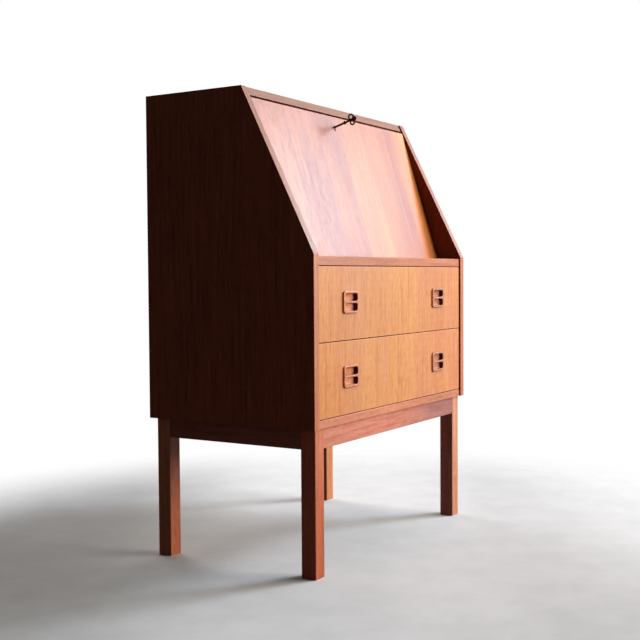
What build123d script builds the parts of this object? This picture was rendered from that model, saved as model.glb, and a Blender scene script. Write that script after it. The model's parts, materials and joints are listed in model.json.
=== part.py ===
from build123d import *

import os
from math import atan2, cos, degrees, hypot, radians, sin, tan

# A secretary desk: a veneered case with a sloping drop front and two drawers, on a base with four legs.
# Sizes are in millimetres. +Z is up, the front faces -Y and +X is to the right of a person facing it.
# The origin is on the floor, under the middle of the case.

os.makedirs("parts", exist_ok=True)

# Case outline
CASE_WIDTH = 760.0
CASE_DEPTH = 444.0
TOTAL_HEIGHT = 1048.0
SLOPE_FOOT_HEIGHT = 686.0  # front corner of the sides, where the slope starts
TOP_DEPTH = 264.0  # depth of the sides at the top, from the back to the slope
FRONT_RECESS = 4.0  # boards and drawers lie this far behind the sides' front edges
BOARD_DROP = 4.0  # the desk board lies this far below the sides' front corners
EDGE_EASE = 1.0  # rounding or bevel along the eased edges of boards, fronts and aprons

# Case boards
SIDE_THICKNESS = 20.0
TOP_THICKNESS = 18.0
BOARD_THICKNESS = 20.0
BOTTOM_THICKNESS = 18.0
BACK_THICKNESS = 5.0
BACK_INSET = 3.0  # the back panel lies this far inside the sides' rear edges
BACK_HOUSING = 8.0  # width of the sides' rebate for the back panel
BACK_LAP = 8.0  # height of the top's rebate for the back panel
TONGUE_LENGTH = 8.0
TONGUE_THICKNESS = 9.0
TONGUE_SETBACK = 16.0  # the tongues stop this far behind a board's front edge
GLUE_GAP = 0.3  # room left at the blind end of a glued joint

# Base
LEG_HEIGHT = 318.0
LEG_SIZE = 36.0
LEG_EDGE_RADIUS = 2.0
LEG_SIDE_INSET = 16.0
LEG_FRONT_INSET = 9.5
LEG_REAR_INSET = 9.0
APRON_HEIGHT = 44.0
APRON_THICKNESS = 20.0
APRON_RECESS = 1.0  # the aprons lie this far behind the legs' outer faces
TENON_LENGTH = 14.0
TENON_THICKNESS = 8.0
TENON_SHOULDER = 7.0  # the tenons are this much lower than the aprons at each edge
CLEAT_SIZE = 20.0
CLEAT_END_GAP = 12.0  # from a cleat's end to the leg

# Flap and its pivots
FLAP_THICKNESS = 20.0
FLAP_SETBACK = 66.0  # foot of the flap's face, behind the sides' front edges
FLAP_TOP_RECESS = 2.5  # head of the flap's face, behind the sides' slope
FLAP_TOP_GAP = 5.0
FLAP_SIDE_GAP = 1.0
FLAP_REST_GAP = 0.3  # between the open flap and the desk board
FLAP_HEEL_GAP = 1.0  # between the shut flap and the writing bed
FLAP_TOE_RADIUS = 2.0  # rounding of the flap's lower front edge
FLAP_COVE_CLEARANCE = 0.5  # between the turning toe and its cove in the desk board
PIVOT_RADIUS = 3.0
PIVOT_CLEARANCE = 0.06
PIVOT_END_GAP = 0.5
BUSH_RADIUS = 5.5
BUSH_LENGTH = 10.0
PIVOT_PLATE_WIDTH = 13.0
PIVOT_PLATE_REACH = 42.0  # from the pivot's axis to the plate's upper end centre
PIVOT_PLATE_THICKNESS = 2.0
STOP_HEIGHT = 24.0
STOP_THICKNESS = 18.0
STOP_GAP = 0.3  # between the stop rail and the shut flap

# Lock and key
KEY_OFFSET = -17.0  # the keyhole lies this far from the middle of the flap
KEY_BACKSET = 28.0  # keyhole below the flap's top edge
LOCK_WIDTH = 56.0
LOCK_HEIGHT = 46.0
LOCK_DEPTH = 11.0
LOCK_WALL = 1.5
SELVEDGE_OVERHANG = 9.0  # the lock's edge plate reaches this far past its case on each side
SELVEDGE_THICKNESS = 2.0
BOLT_WIDTH = 18.0
BOLT_THICKNESS = 5.0
BOLT_THROW = 13.0
BOLT_CLEARANCE = 0.4
BOLT_PLATE_WIDTH = 32.0
BOLT_PLATE_FOOT = 42.0  # lower end of the bolt plate below the flap's top edge
STRIKE_LENGTH = 38.0
STRIKE_WIDTH = 12.0
STRIKE_THICKNESS = 1.5
STRIKE_DEPTH = 9.0  # depth of the bolt's mortise in the top panel
STRIKE_CLEARANCE = 1.0
KEY_STEM_RADIUS = 2.6
KEY_STEM_LENGTH = 50.0  # visible stem, from the flap's face to the middle of the bow
KEY_TIP_GAP = 0.5  # between the key's tip and the lock's cover
KEY_BIT_REACH = 8.0
KEY_BIT_THICKNESS = 2.0
KEY_BIT_LENGTH = 5.0
KEYHOLE_CLEARANCE = 0.5
COLLAR_RADIUS = 4.2
COLLAR_LENGTH = 5.0
COLLAR_PLACE = 28.0  # from the flap's face to the collar
BOW_LOOP_RADIUS = 7.2  # outside of the two loops beside the stem
BOW_END_RADIUS = 5.2  # outside of the loop at the stem's end
BOW_BAND = 3.0  # width of the metal round a side loop's hole
BOW_END_BAND = 3.8  # width of the metal round the end loop's hole
BOW_THICKNESS = 3.2
BOW_SPREAD = 6.5  # from the stem's axis to the middle of a side loop
BOW_REACH = 8.0  # from the side loops to the middle of the end loop

# Drawers and runners
DRAWER_GAP = 1.5
DRAWER_FRONT_THICKNESS = 20.0
DRAWER_SIDE_THICKNESS = 12.0
DRAWER_SIDE_RISE = 8.0  # from the front's lower edge up to the sides
DRAWER_SIDE_DROP = 14.0  # from the front's upper edge down to the sides
DRAWER_BACK_THICKNESS = 12.0
DRAWER_BACK_INSET = 10.0  # from the sides' rear ends to the back
DRAWER_BACK_DROP = 4.0  # the back is this much lower than the sides
DRAWER_BOTTOM_THICKNESS = 5.0
DRAWER_BOTTOM_RISE = 8.0  # from the sides' lower edges up to the bottom
DRAWER_HOUSING = 4.0  # depth of the grooves for bottom and back
DRAWER_REAR_GAP = 14.0
TAIL_COUNT = 4
TAIL_LENGTH = 12.0
TAIL_ANGLE = 10.0  # flare of each dovetail's flanks, in degrees
PIN_WIDTH = 8.0  # between two dovetails at their wide ends
RUNNER_HEIGHT = 16.0
RUNNER_DEPTH = 7.0
RUNNER_CLEARANCE = 0.4
RUNNER_SETBACK = 14.0  # from the drawer front's inner face to the groove's blind end

# Pulls
PULL_WIDTH = 66.0
PULL_HEIGHT = 49.0
PULL_CORNER = 8.0
PULL_PROUD = 4.0
PULL_SEAT = 14.0  # depth of the pull inside the drawer front
PULL_FIT = 0.1
PULL_INSET = 137.0  # from a side panel's inner face to the middle of a pull
PULL_RISE = 2.0  # the pulls sit this far above the middle of a drawer front
PULL_RIM_SIDE = 7.0
PULL_RIM_END = 5.6
PULL_HOLLOW_DEPTH = 10.5
PULL_BAR_HEIGHT = 5.0
PULL_BAR_DEPTH = 4.5
PULL_HOLE_CORNER = 6.0
PULL_BEVEL = 2.0

# Inside the writing compartment
INTERIOR_DEPTH = 200.0
SHELF_THICKNESS = 12.0
SHELF_HOUSING = 6.0
DIVIDER_THICKNESS = 12.0
DIVIDER_HOUSING = 4.0
MIDDLE_BAY_WIDTH = 240.0
LETTER_BAY_HEIGHT = 90.0
LETTER_GAP = 1.0  # at the sides and above a letter drawer
LETTER_RUN_GAP = 0.3  # under a letter drawer
LETTER_REAR_GAP = 10.0
LETTER_FRONT_THICKNESS = 10.0
LETTER_SIDE_THICKNESS = 8.0
LETTER_BOTTOM_THICKNESS = 4.0
LETTER_BOTTOM_RISE = 4.0
LETTER_HOUSING = 3.0
LETTER_SIDE_DROP = 6.0
NOTCH_RADIUS = 13.0  # finger notch in a letter drawer's front

# Planes and heights of the case
half_width = CASE_WIDTH / 2
inner_half = half_width - SIDE_THICKNESS
front = -CASE_DEPTH / 2
rear = CASE_DEPTH / 2
face = front + FRONT_RECESS
back_front = rear - BACK_INSET - BACK_THICKNESS
slope_head_y = rear - TOP_DEPTH
top_under = TOTAL_HEIGHT - TOP_THICKNESS
back_head = top_under + BACK_LAP
board_top = SLOPE_FOOT_HEIGHT - BOARD_DROP
board_under = board_top - BOARD_THICKNESS
bottom_top = LEG_HEIGHT + BOTTOM_THICKNESS


def slope_y(z):
    """Front edge of the sides at a height on the slope."""
    share = (z - SLOPE_FOOT_HEIGHT) / (TOTAL_HEIGHT - SLOPE_FOOT_HEIGHT)
    return front + share * (slope_head_y - front)


# The shut flap leans back from its foot on the desk board to its head just inside the slope.
# Its heel is rounded about the pivot, half a thickness above the board, so the open flap lies flat on it.
# In front the face runs straight down to a toe just above the board, which turns in a cove of the board.
flap_foot_y = front + FLAP_SETBACK
flap_head_z = top_under - FLAP_TOP_GAP
flap_head_y = slope_y(flap_head_z) + FLAP_TOP_RECESS
flap_lean = atan2(flap_head_y - flap_foot_y, flap_head_z - board_top)
flap_half_thickness = FLAP_THICKNESS / 2
pivot_rise = (FLAP_REST_GAP + flap_half_thickness * (1 + sin(flap_lean))) / cos(flap_lean)
pivot_y = flap_foot_y + flap_half_thickness * cos(flap_lean) + pivot_rise * sin(flap_lean)
pivot_z = board_top + FLAP_REST_GAP + flap_half_thickness
flap_length = (flap_head_z - pivot_z - flap_half_thickness * sin(flap_lean)) / cos(flap_lean)
flap_half_width = inner_half - FLAP_SIDE_GAP
toe_drop = flap_half_thickness * (1 + sin(flap_lean)) / cos(flap_lean)
cove_radius = hypot(flap_half_thickness, toe_drop) + FLAP_COVE_CLEARANCE

# Along the flap: x to the right, y up the flap from the pivot, z out of its front face.
flap_frame = Plane(
    origin=(0, pivot_y, pivot_z),
    x_dir=(1, 0, 0),
    z_dir=(0, -cos(flap_lean), sin(flap_lean)),
)
flap_section = Plane(origin=flap_frame.origin, x_dir=flap_frame.y_dir, z_dir=(1, 0, 0))


def flap_layer_y(z, layer):
    """Depth at a height, on a plane parallel to the flap and this far in front of its middle."""
    rise = (z - pivot_z - layer * sin(flap_lean)) / cos(flap_lean)
    return pivot_y + rise * sin(flap_lean) - layer * cos(flap_lean)


# Layers through the flap at the lock, measured outwards from the flap's middle plane
lock_back = -flap_half_thickness
lock_front = lock_back + LOCK_DEPTH
hollow_back = lock_back + LOCK_WALL
hollow_front = lock_front - LOCK_WALL
bolt_layer = (hollow_back + hollow_front) / 2
key_height = flap_length - KEY_BACKSET
hollow_foot = flap_length - LOCK_HEIGHT + LOCK_WALL
hollow_head = flap_length - SELVEDGE_THICKNESS
hollow_half_width = LOCK_WIDTH / 2 - LOCK_WALL
key_plane = Plane(
    origin=flap_frame.from_local_coords((KEY_OFFSET, key_height, 0)),
    x_dir=flap_frame.x_dir,
    z_dir=flap_frame.z_dir,
)
strike_y = flap_layer_y(top_under, bolt_layer)

# Writing bed, shelf and letter bays
bed_top = board_top + FLAP_REST_GAP + FLAP_THICKNESS
bed_front = flap_layer_y(bed_top, -flap_half_thickness - FLAP_HEEL_GAP)
shelf_front = back_front - INTERIOR_DEPTH
shelf_under = bed_top + LETTER_BAY_HEIGHT
shelf_top = shelf_under + SHELF_THICKNESS
middle_bay_half = MIDDLE_BAY_WIDTH / 2
letter_bay_inner = middle_bay_half + DIVIDER_THICKNESS

# Legs and aprons
leg_outer_x = half_width - LEG_SIDE_INSET
leg_outer_y = {"front": front + LEG_FRONT_INSET, "rear": rear - LEG_REAR_INSET}
leg_inner_x = leg_outer_x - LEG_SIZE
leg_inner_y = {"front": leg_outer_y["front"] + LEG_SIZE, "rear": leg_outer_y["rear"] - LEG_SIZE}
apron_middle = APRON_RECESS + APRON_THICKNESS / 2
apron_x = leg_outer_x - apron_middle
apron_y = {"front": leg_outer_y["front"] + apron_middle, "rear": leg_outer_y["rear"] - apron_middle}
apron_under = LEG_HEIGHT - APRON_HEIGHT
tenon_under = apron_under + TENON_SHOULDER
tenon_top = LEG_HEIGHT - TENON_SHOULDER
cleat_outer = apron_x - APRON_THICKNESS / 2
cleat_under = LEG_HEIGHT - CLEAT_SIZE
cleat_front = leg_inner_y["front"] + CLEAT_END_GAP
cleat_rear = leg_inner_y["rear"] - CLEAT_END_GAP

# Drawers, with the heights of each one's front
drawer_front_height = (board_under - bottom_top - 3 * DRAWER_GAP) / 2
drawer_foot = {
    "lower": bottom_top + DRAWER_GAP,
    "upper": bottom_top + 2 * DRAWER_GAP + drawer_front_height,
}
drawer_half = inner_half - DRAWER_GAP
drawer_inner_half = drawer_half - DRAWER_SIDE_THICKNESS
drawer_front_inner = face + DRAWER_FRONT_THICKNESS
drawer_rear = back_front - DRAWER_REAR_GAP
drawer_side_height = drawer_front_height - DRAWER_SIDE_RISE - DRAWER_SIDE_DROP
drawer_back_rear = drawer_rear - DRAWER_BACK_INSET
drawer_back_front = drawer_back_rear - DRAWER_BACK_THICKNESS
runner_groove_depth = RUNNER_DEPTH - DRAWER_GAP + RUNNER_CLEARANCE
groove_front = drawer_front_inner + RUNNER_SETBACK
signs = {"left": -1, "right": 1}


def block(corner, opposite, mode=Mode.ADD, frame=Plane.XY):
    """A rectangular block between two opposite corners, given in a frame."""
    low = Vector(*corner)
    high = Vector(*opposite)
    size = high - low
    with Locations(frame.location * Location((low + high) * 0.5)):
        Box(abs(size.X), abs(size.Y), abs(size.Z), mode=mode)


def keep(solid, name):
    """Label a finished piece and write it to its own file."""
    solid.label = name
    export_step(solid, f"parts/{name}.step")


def tongue_heights(under, thickness):
    """Lower and upper side of the tongue in the middle of a board's thickness."""
    middle = under + thickness / 2
    return middle - TONGUE_THICKNESS / 2, middle + TONGUE_THICKNESS / 2


# The three boards between the sides: underside, thickness and where their tongues start
tongues = {
    "top_panel": (top_under, TOP_THICKNESS, slope_y(top_under) + FRONT_RECESS + TONGUE_SETBACK),
    "desk_board": (board_under, BOARD_THICKNESS, face + TONGUE_SETBACK),
    "bottom_panel": (LEG_HEIGHT, BOTTOM_THICKNESS, face + TONGUE_SETBACK),
}


def side_panel(sign):
    """A side of the case, with the joints for boards, shelf, back panel and pivot on its inner face."""
    inner = sign * inner_half
    with BuildPart() as panel:
        with BuildSketch(Plane.YZ.offset(inner)):
            with BuildLine():
                Polyline(
                    (front, LEG_HEIGHT),
                    (front, SLOPE_FOOT_HEIGHT),
                    (slope_head_y, TOTAL_HEIGHT),
                    (rear, TOTAL_HEIGHT),
                    (rear, LEG_HEIGHT),
                    close=True,
                )
            make_face()
        extrude(amount=sign * SIDE_THICKNESS)
        fillet(panel.edges().filter_by(Axis.X, reverse=True), EDGE_EASE)
        for under, thickness, tongue_front in tongues.values():
            low, high = tongue_heights(under, thickness)
            groove_bottom = inner + sign * (TONGUE_LENGTH + GLUE_GAP)
            block(
                (inner - sign, tongue_front - GLUE_GAP, low),
                (groove_bottom, back_front, high),
                Mode.SUBTRACT,
            )
        rebate = inner + sign * (BACK_HOUSING + GLUE_GAP)
        block((inner - sign, back_front, 0), (rebate, rear + 1, back_head + GLUE_GAP), Mode.SUBTRACT)
        housing = inner + sign * (SHELF_HOUSING + GLUE_GAP)
        block((inner - sign, shelf_front, shelf_under), (housing, back_front, shelf_top), Mode.SUBTRACT)
        with BuildSketch(Plane.YZ.offset(inner)):
            with Locations((pivot_y, pivot_z)):
                Circle(BUSH_RADIUS)
        extrude(amount=sign * BUSH_LENGTH, mode=Mode.SUBTRACT)
    return panel.part


for name, sign in signs.items():
    keep(side_panel(sign), f"side_panel_{name}")


def tongue_board(outline, name):
    """A board between the sides, from its outline seen from the end, with a tongue into each side."""
    under, thickness, tongue_front = tongues[name]
    low, high = tongue_heights(under, thickness)
    with BuildPart() as board:
        with BuildSketch(Plane.YZ):
            with BuildLine():
                Polyline(*outline, close=True)
            make_face()
        extrude(amount=inner_half, both=True)
        fillet(board.edges().filter_by(Axis.X).group_by(Axis.Y)[0], EDGE_EASE)
        reach = inner_half + TONGUE_LENGTH
        block((-reach, tongue_front, low), (reach, back_front, high))
    return board.part


top_outline = [
    (slope_head_y + FRONT_RECESS, TOTAL_HEIGHT),
    (slope_y(top_under) + FRONT_RECESS, top_under),
    (back_front, top_under),
    (back_front, back_head),
    (rear, back_head),
    (rear, TOTAL_HEIGHT),
]
with BuildPart() as top_panel:
    add(tongue_board(top_outline, "top_panel"))
    # The strike plate's seat and the mortise for the bolt
    block(
        (KEY_OFFSET - STRIKE_LENGTH / 2, strike_y - STRIKE_WIDTH / 2, top_under - 1),
        (KEY_OFFSET + STRIKE_LENGTH / 2, strike_y + STRIKE_WIDTH / 2, top_under + STRIKE_THICKNESS),
        Mode.SUBTRACT,
    )
    bolt_room_x = BOLT_WIDTH / 2 + STRIKE_CLEARANCE
    bolt_room_front = BOLT_THICKNESS / 2 / cos(flap_lean) + STRIKE_CLEARANCE
    bolt_room_rear = bolt_room_front + STRIKE_DEPTH * tan(flap_lean)
    block(
        (KEY_OFFSET - bolt_room_x, strike_y - bolt_room_front, top_under),
        (KEY_OFFSET + bolt_room_x, strike_y + bolt_room_rear, top_under + STRIKE_DEPTH),
        Mode.SUBTRACT,
    )
keep(top_panel.part, "top_panel")

with BuildPart() as strike_plate:
    block(
        (KEY_OFFSET - STRIKE_LENGTH / 2, strike_y - STRIKE_WIDTH / 2, top_under),
        (KEY_OFFSET + STRIKE_LENGTH / 2, strike_y + STRIKE_WIDTH / 2, top_under + STRIKE_THICKNESS),
    )
    block(
        (KEY_OFFSET - bolt_room_x, strike_y - bolt_room_front, top_under - 1),
        (KEY_OFFSET + bolt_room_x, strike_y + bolt_room_front, top_under + STRIKE_THICKNESS + 1),
        Mode.SUBTRACT,
    )
keep(strike_plate.part, "strike_plate")

board_outline = [
    (face, board_under),
    (face, board_top),
    (back_front, board_top),
    (back_front, board_under),
]
with BuildPart() as desk_board:
    add(tongue_board(board_outline, "desk_board"))
    with BuildSketch(Plane.YZ.offset(-inner_half)):
        with Locations((pivot_y, pivot_z)):
            Circle(cove_radius)
    extrude(amount=2 * inner_half, mode=Mode.SUBTRACT)
keep(desk_board.part, "desk_board")

bottom_outline = [
    (face, LEG_HEIGHT),
    (face, bottom_top),
    (back_front, bottom_top),
    (back_front, LEG_HEIGHT),
]
keep(tongue_board(bottom_outline, "bottom_panel"), "bottom_panel")

with BuildPart() as back_panel:
    with BuildSketch(Plane.XZ.offset(-back_front)):
        with Locations((0, (LEG_HEIGHT + back_head) / 2)):
            Rectangle(2 * (inner_half + BACK_HOUSING), back_head - LEG_HEIGHT)
    extrude(amount=-BACK_THICKNESS)
keep(back_panel.part, "back_panel")

# The shut flap leans on this rail, so its front face has the flap's slope.
stop_layer = -flap_half_thickness - STOP_GAP
stop_under = top_under - STOP_HEIGHT
stop_rear = flap_layer_y(top_under, stop_layer) + STOP_THICKNESS
with BuildPart() as flap_stop_rail:
    with BuildSketch(Plane.YZ):
        with BuildLine():
            Polyline(
                (flap_layer_y(stop_under, stop_layer), stop_under),
                (flap_layer_y(top_under, stop_layer), top_under),
                (stop_rear, top_under),
                (stop_rear, stop_under),
                close=True,
            )
        make_face()
    extrude(amount=inner_half, both=True)
keep(flap_stop_rail.part, "flap_stop_rail")

divider_spots = {"left": (-letter_bay_inner, -middle_bay_half), "right": (middle_bay_half, letter_bay_inner)}

with BuildPart() as writing_bed:
    with BuildSketch(Plane.YZ):
        with BuildLine():
            Polyline(
                (bed_front, board_top),
                (bed_front, bed_top),
                (back_front, bed_top),
                (back_front, board_top),
                close=True,
            )
        make_face()
    extrude(amount=inner_half, both=True)
    fillet(writing_bed.edges().filter_by(Axis.X).group_by(Axis.Y)[0].sort_by(Axis.Z)[-1], EDGE_EASE)
    for low, high in divider_spots.values():
        block((low, shelf_front, bed_top - DIVIDER_HOUSING), (high, back_front, bed_top + 1), Mode.SUBTRACT)
keep(writing_bed.part, "writing_bed")

with BuildPart() as interior_shelf:
    shelf_half = inner_half + SHELF_HOUSING
    with BuildSketch(Plane.YZ):
        with BuildLine():
            Polyline(
                (shelf_front, shelf_under),
                (shelf_front, shelf_top),
                (back_front, shelf_top),
                (back_front, shelf_under),
                close=True,
            )
        make_face()
    extrude(amount=shelf_half, both=True)
    fillet(interior_shelf.edges().filter_by(Axis.X).group_by(Axis.Y)[0], EDGE_EASE)
    for low, high in divider_spots.values():
        block(
            (low, shelf_front - 1, shelf_under - 1),
            (high, back_front, shelf_under + DIVIDER_HOUSING),
            Mode.SUBTRACT,
        )
keep(interior_shelf.part, "interior_shelf")

for name, (low, high) in divider_spots.items():
    with BuildPart() as divider:
        with BuildSketch(Plane.YZ.offset(low)):
            with BuildLine():
                Polyline(
                    (shelf_front, bed_top - DIVIDER_HOUSING),
                    (shelf_front, shelf_under + DIVIDER_HOUSING),
                    (back_front, shelf_under + DIVIDER_HOUSING),
                    (back_front, bed_top - DIVIDER_HOUSING),
                    close=True,
                )
            make_face()
        extrude(amount=high - low)
        chamfer(divider.edges().filter_by(Axis.Z).group_by(Axis.Y)[0], EDGE_EASE)
    keep(divider.part, f"interior_divider_{name}")


def leg(sign, end):
    """A square leg with a mortise for the apron beside it and one for the apron behind or before it."""
    outer_x = sign * leg_outer_x
    inner_x = sign * leg_inner_x
    outer_y = leg_outer_y[end]
    inner_y = leg_inner_y[end]
    inward = 1 if inner_y > outer_y else -1
    half_tenon = TENON_THICKNESS / 2
    reach = TENON_LENGTH + GLUE_GAP
    with BuildPart() as post:
        with BuildSketch():
            with Locations(((outer_x + inner_x) / 2, (outer_y + inner_y) / 2)):
                RectangleRounded(LEG_SIZE, LEG_SIZE, LEG_EDGE_RADIUS)
        extrude(amount=LEG_HEIGHT)
        block(
            (inner_x - sign, apron_y[end] - half_tenon, tenon_under),
            (inner_x + sign * reach, apron_y[end] + half_tenon, tenon_top),
            Mode.SUBTRACT,
        )
        block(
            (sign * apron_x - half_tenon, inner_y + inward, tenon_under),
            (sign * apron_x + half_tenon, inner_y - inward * reach, tenon_top),
            Mode.SUBTRACT,
        )
    return post.part


for end in leg_outer_y:
    for name, sign in signs.items():
        keep(leg(sign, end), f"leg_{end}_{name}")

for end, middle in apron_y.items():
    with BuildPart() as apron:
        with BuildSketch(Plane.YZ):
            with Locations((middle, (apron_under + LEG_HEIGHT) / 2)):
                Rectangle(APRON_THICKNESS, APRON_HEIGHT)
        extrude(amount=leg_inner_x, both=True)
        chamfer(apron.edges().filter_by(Axis.X).group_by(Axis.Z)[0], EDGE_EASE)
        tenon_reach = leg_inner_x + TENON_LENGTH
        block(
            (-tenon_reach, middle - TENON_THICKNESS / 2, tenon_under),
            (tenon_reach, middle + TENON_THICKNESS / 2, tenon_top),
        )
    keep(apron.part, f"apron_{end}")

for name, sign in signs.items():
    with BuildPart() as apron:
        with BuildSketch(Plane.XZ.offset(-leg_inner_y["front"])):
            with Locations((sign * apron_x, (apron_under + LEG_HEIGHT) / 2)):
                Rectangle(APRON_THICKNESS, APRON_HEIGHT)
        extrude(amount=leg_inner_y["front"] - leg_inner_y["rear"])
        chamfer(apron.edges().filter_by(Axis.Y).group_by(Axis.Z)[0], EDGE_EASE)
        block(
            (sign * apron_x - TENON_THICKNESS / 2, leg_inner_y["front"] - TENON_LENGTH, tenon_under),
            (sign * apron_x + TENON_THICKNESS / 2, leg_inner_y["rear"] + TENON_LENGTH, tenon_top),
        )
    keep(apron.part, f"apron_{name}")

for name, sign in signs.items():
    with BuildPart() as cleat:
        block(
            (sign * cleat_outer, cleat_front, cleat_under),
            (sign * (cleat_outer - CLEAT_SIZE), cleat_rear, LEG_HEIGHT),
        )
        chamfer(cleat.edges().filter_by(Axis.Y).group_by(Axis.Z)[0], EDGE_EASE)
    keep(cleat.part, f"base_cleat_{name}")


def keyhole_outline():
    """A round hole for the key's stem with a slot below it for the bit."""
    Circle(KEY_STEM_RADIUS + KEYHOLE_CLEARANCE)
    with Locations((0, -KEY_BIT_REACH / 2)):
        Rectangle(KEY_BIT_THICKNESS + 2 * KEYHOLE_CLEARANCE, KEY_BIT_REACH + 2 * KEYHOLE_CLEARANCE)


def pivot_plate_outline():
    """A round-ended plate, from the pivot up the flap's end."""
    with Locations((PIVOT_PLATE_REACH / 2, 0)):
        SlotCenterToCenter(PIVOT_PLATE_REACH, PIVOT_PLATE_WIDTH)


with BuildPart() as flap_panel:
    with BuildSketch(flap_section):
        with BuildLine():
            heel = CenterArc((0, 0), flap_half_thickness, 180 + degrees(flap_lean), 90 - degrees(flap_lean))
            Polyline(
                heel @ 1,
                (flap_length, -flap_half_thickness),
                (flap_length, flap_half_thickness),
                (-toe_drop, flap_half_thickness),
                heel @ 0,
            )
        make_face()
    extrude(amount=flap_half_width, both=True)
    fillet(flap_panel.edges().filter_by(Axis.X).sort_by(Axis.Z)[-2:], EDGE_EASE)
    fillet(flap_panel.edges().filter_by(Axis.X).sort_by(Axis.Y)[0], FLAP_TOE_RADIUS)
    for sign in signs.values():
        with BuildSketch(flap_section.offset(sign * flap_half_width)):
            pivot_plate_outline()
        extrude(amount=-sign * PIVOT_PLATE_THICKNESS, mode=Mode.SUBTRACT)
    lock_left = KEY_OFFSET - LOCK_WIDTH / 2
    lock_right = KEY_OFFSET + LOCK_WIDTH / 2
    lock_foot = flap_length - LOCK_HEIGHT
    block(
        (lock_left, lock_foot, lock_back - 1),
        (lock_right, flap_length + 1, lock_front),
        Mode.SUBTRACT,
        flap_frame,
    )
    block(
        (lock_left - SELVEDGE_OVERHANG, hollow_head, lock_back - 1),
        (lock_right + SELVEDGE_OVERHANG, flap_length + 1, lock_front),
        Mode.SUBTRACT,
        flap_frame,
    )
    with BuildSketch(key_plane):
        keyhole_outline()
    extrude(amount=FLAP_THICKNESS, mode=Mode.SUBTRACT)
keep(flap_panel.part, "flap_panel")

for name, sign in signs.items():
    plate_inner = flap_half_width - PIVOT_PLATE_THICKNESS
    pin_length = PIVOT_PLATE_THICKNESS + FLAP_SIDE_GAP + BUSH_LENGTH - PIVOT_END_GAP
    with BuildPart() as flap_pivot:
        with BuildSketch(flap_section.offset(sign * plate_inner)):
            pivot_plate_outline()
        extrude(amount=sign * PIVOT_PLATE_THICKNESS)
        with BuildSketch(flap_section.offset(sign * plate_inner)):
            Circle(PIVOT_RADIUS)
        extrude(amount=sign * pin_length)
    keep(flap_pivot.part, f"flap_pivot_{name}")

    with BuildPart() as pivot_bush:
        with BuildSketch(flap_section.offset(sign * inner_half)):
            Circle(BUSH_RADIUS)
            Circle(PIVOT_RADIUS + PIVOT_CLEARANCE, mode=Mode.SUBTRACT)
        extrude(amount=sign * BUSH_LENGTH)
    keep(pivot_bush.part, f"pivot_bush_{name}")

with BuildPart() as lock_case:
    block(
        (lock_left, lock_foot, lock_back),
        (lock_right, flap_length, lock_front),
        frame=flap_frame,
    )
    block(
        (lock_left - SELVEDGE_OVERHANG, hollow_head, lock_back),
        (lock_right + SELVEDGE_OVERHANG, flap_length, lock_front),
        frame=flap_frame,
    )
    block(
        (KEY_OFFSET - hollow_half_width, hollow_foot, hollow_back),
        (KEY_OFFSET + hollow_half_width, hollow_head, hollow_front),
        Mode.SUBTRACT,
        flap_frame,
    )
    bolt_slot = BOLT_THICKNESS / 2 + BOLT_CLEARANCE
    block(
        (KEY_OFFSET - BOLT_WIDTH / 2 - BOLT_CLEARANCE, hollow_head - 1, bolt_layer - bolt_slot),
        (KEY_OFFSET + BOLT_WIDTH / 2 + BOLT_CLEARANCE, flap_length + 1, bolt_layer + bolt_slot),
        Mode.SUBTRACT,
        flap_frame,
    )
    with BuildSketch(key_plane.offset(bolt_layer)):
        keyhole_outline()
    extrude(amount=LOCK_DEPTH, mode=Mode.SUBTRACT)
keep(lock_case.part, "lock_case")

# The bolt's plate is a fork that leaves room for the key's bit to turn at both ends of its throw.
bolt_shoulder = hollow_head - BOLT_THROW - BOLT_CLEARANCE
bit_room = KEY_BIT_REACH + BOLT_CLEARANCE
with BuildPart() as lock_bolt:
    block(
        (KEY_OFFSET - BOLT_WIDTH / 2, key_height + bit_room, bolt_layer - BOLT_THICKNESS / 2),
        (KEY_OFFSET + BOLT_WIDTH / 2, flap_length, bolt_layer + BOLT_THICKNESS / 2),
        frame=flap_frame,
    )
    block(
        (KEY_OFFSET - BOLT_PLATE_WIDTH / 2, flap_length - BOLT_PLATE_FOOT, bolt_layer - BOLT_THICKNESS / 2),
        (KEY_OFFSET + BOLT_PLATE_WIDTH / 2, bolt_shoulder, bolt_layer + BOLT_THICKNESS / 2),
        frame=flap_frame,
    )
    block(
        (KEY_OFFSET - bit_room, 0, bolt_layer - BOLT_THICKNESS),
        (KEY_OFFSET + bit_room, key_height + bit_room, bolt_layer + BOLT_THICKNESS),
        Mode.SUBTRACT,
        flap_frame,
    )
keep(lock_bolt.part, "lock_bolt")

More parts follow.
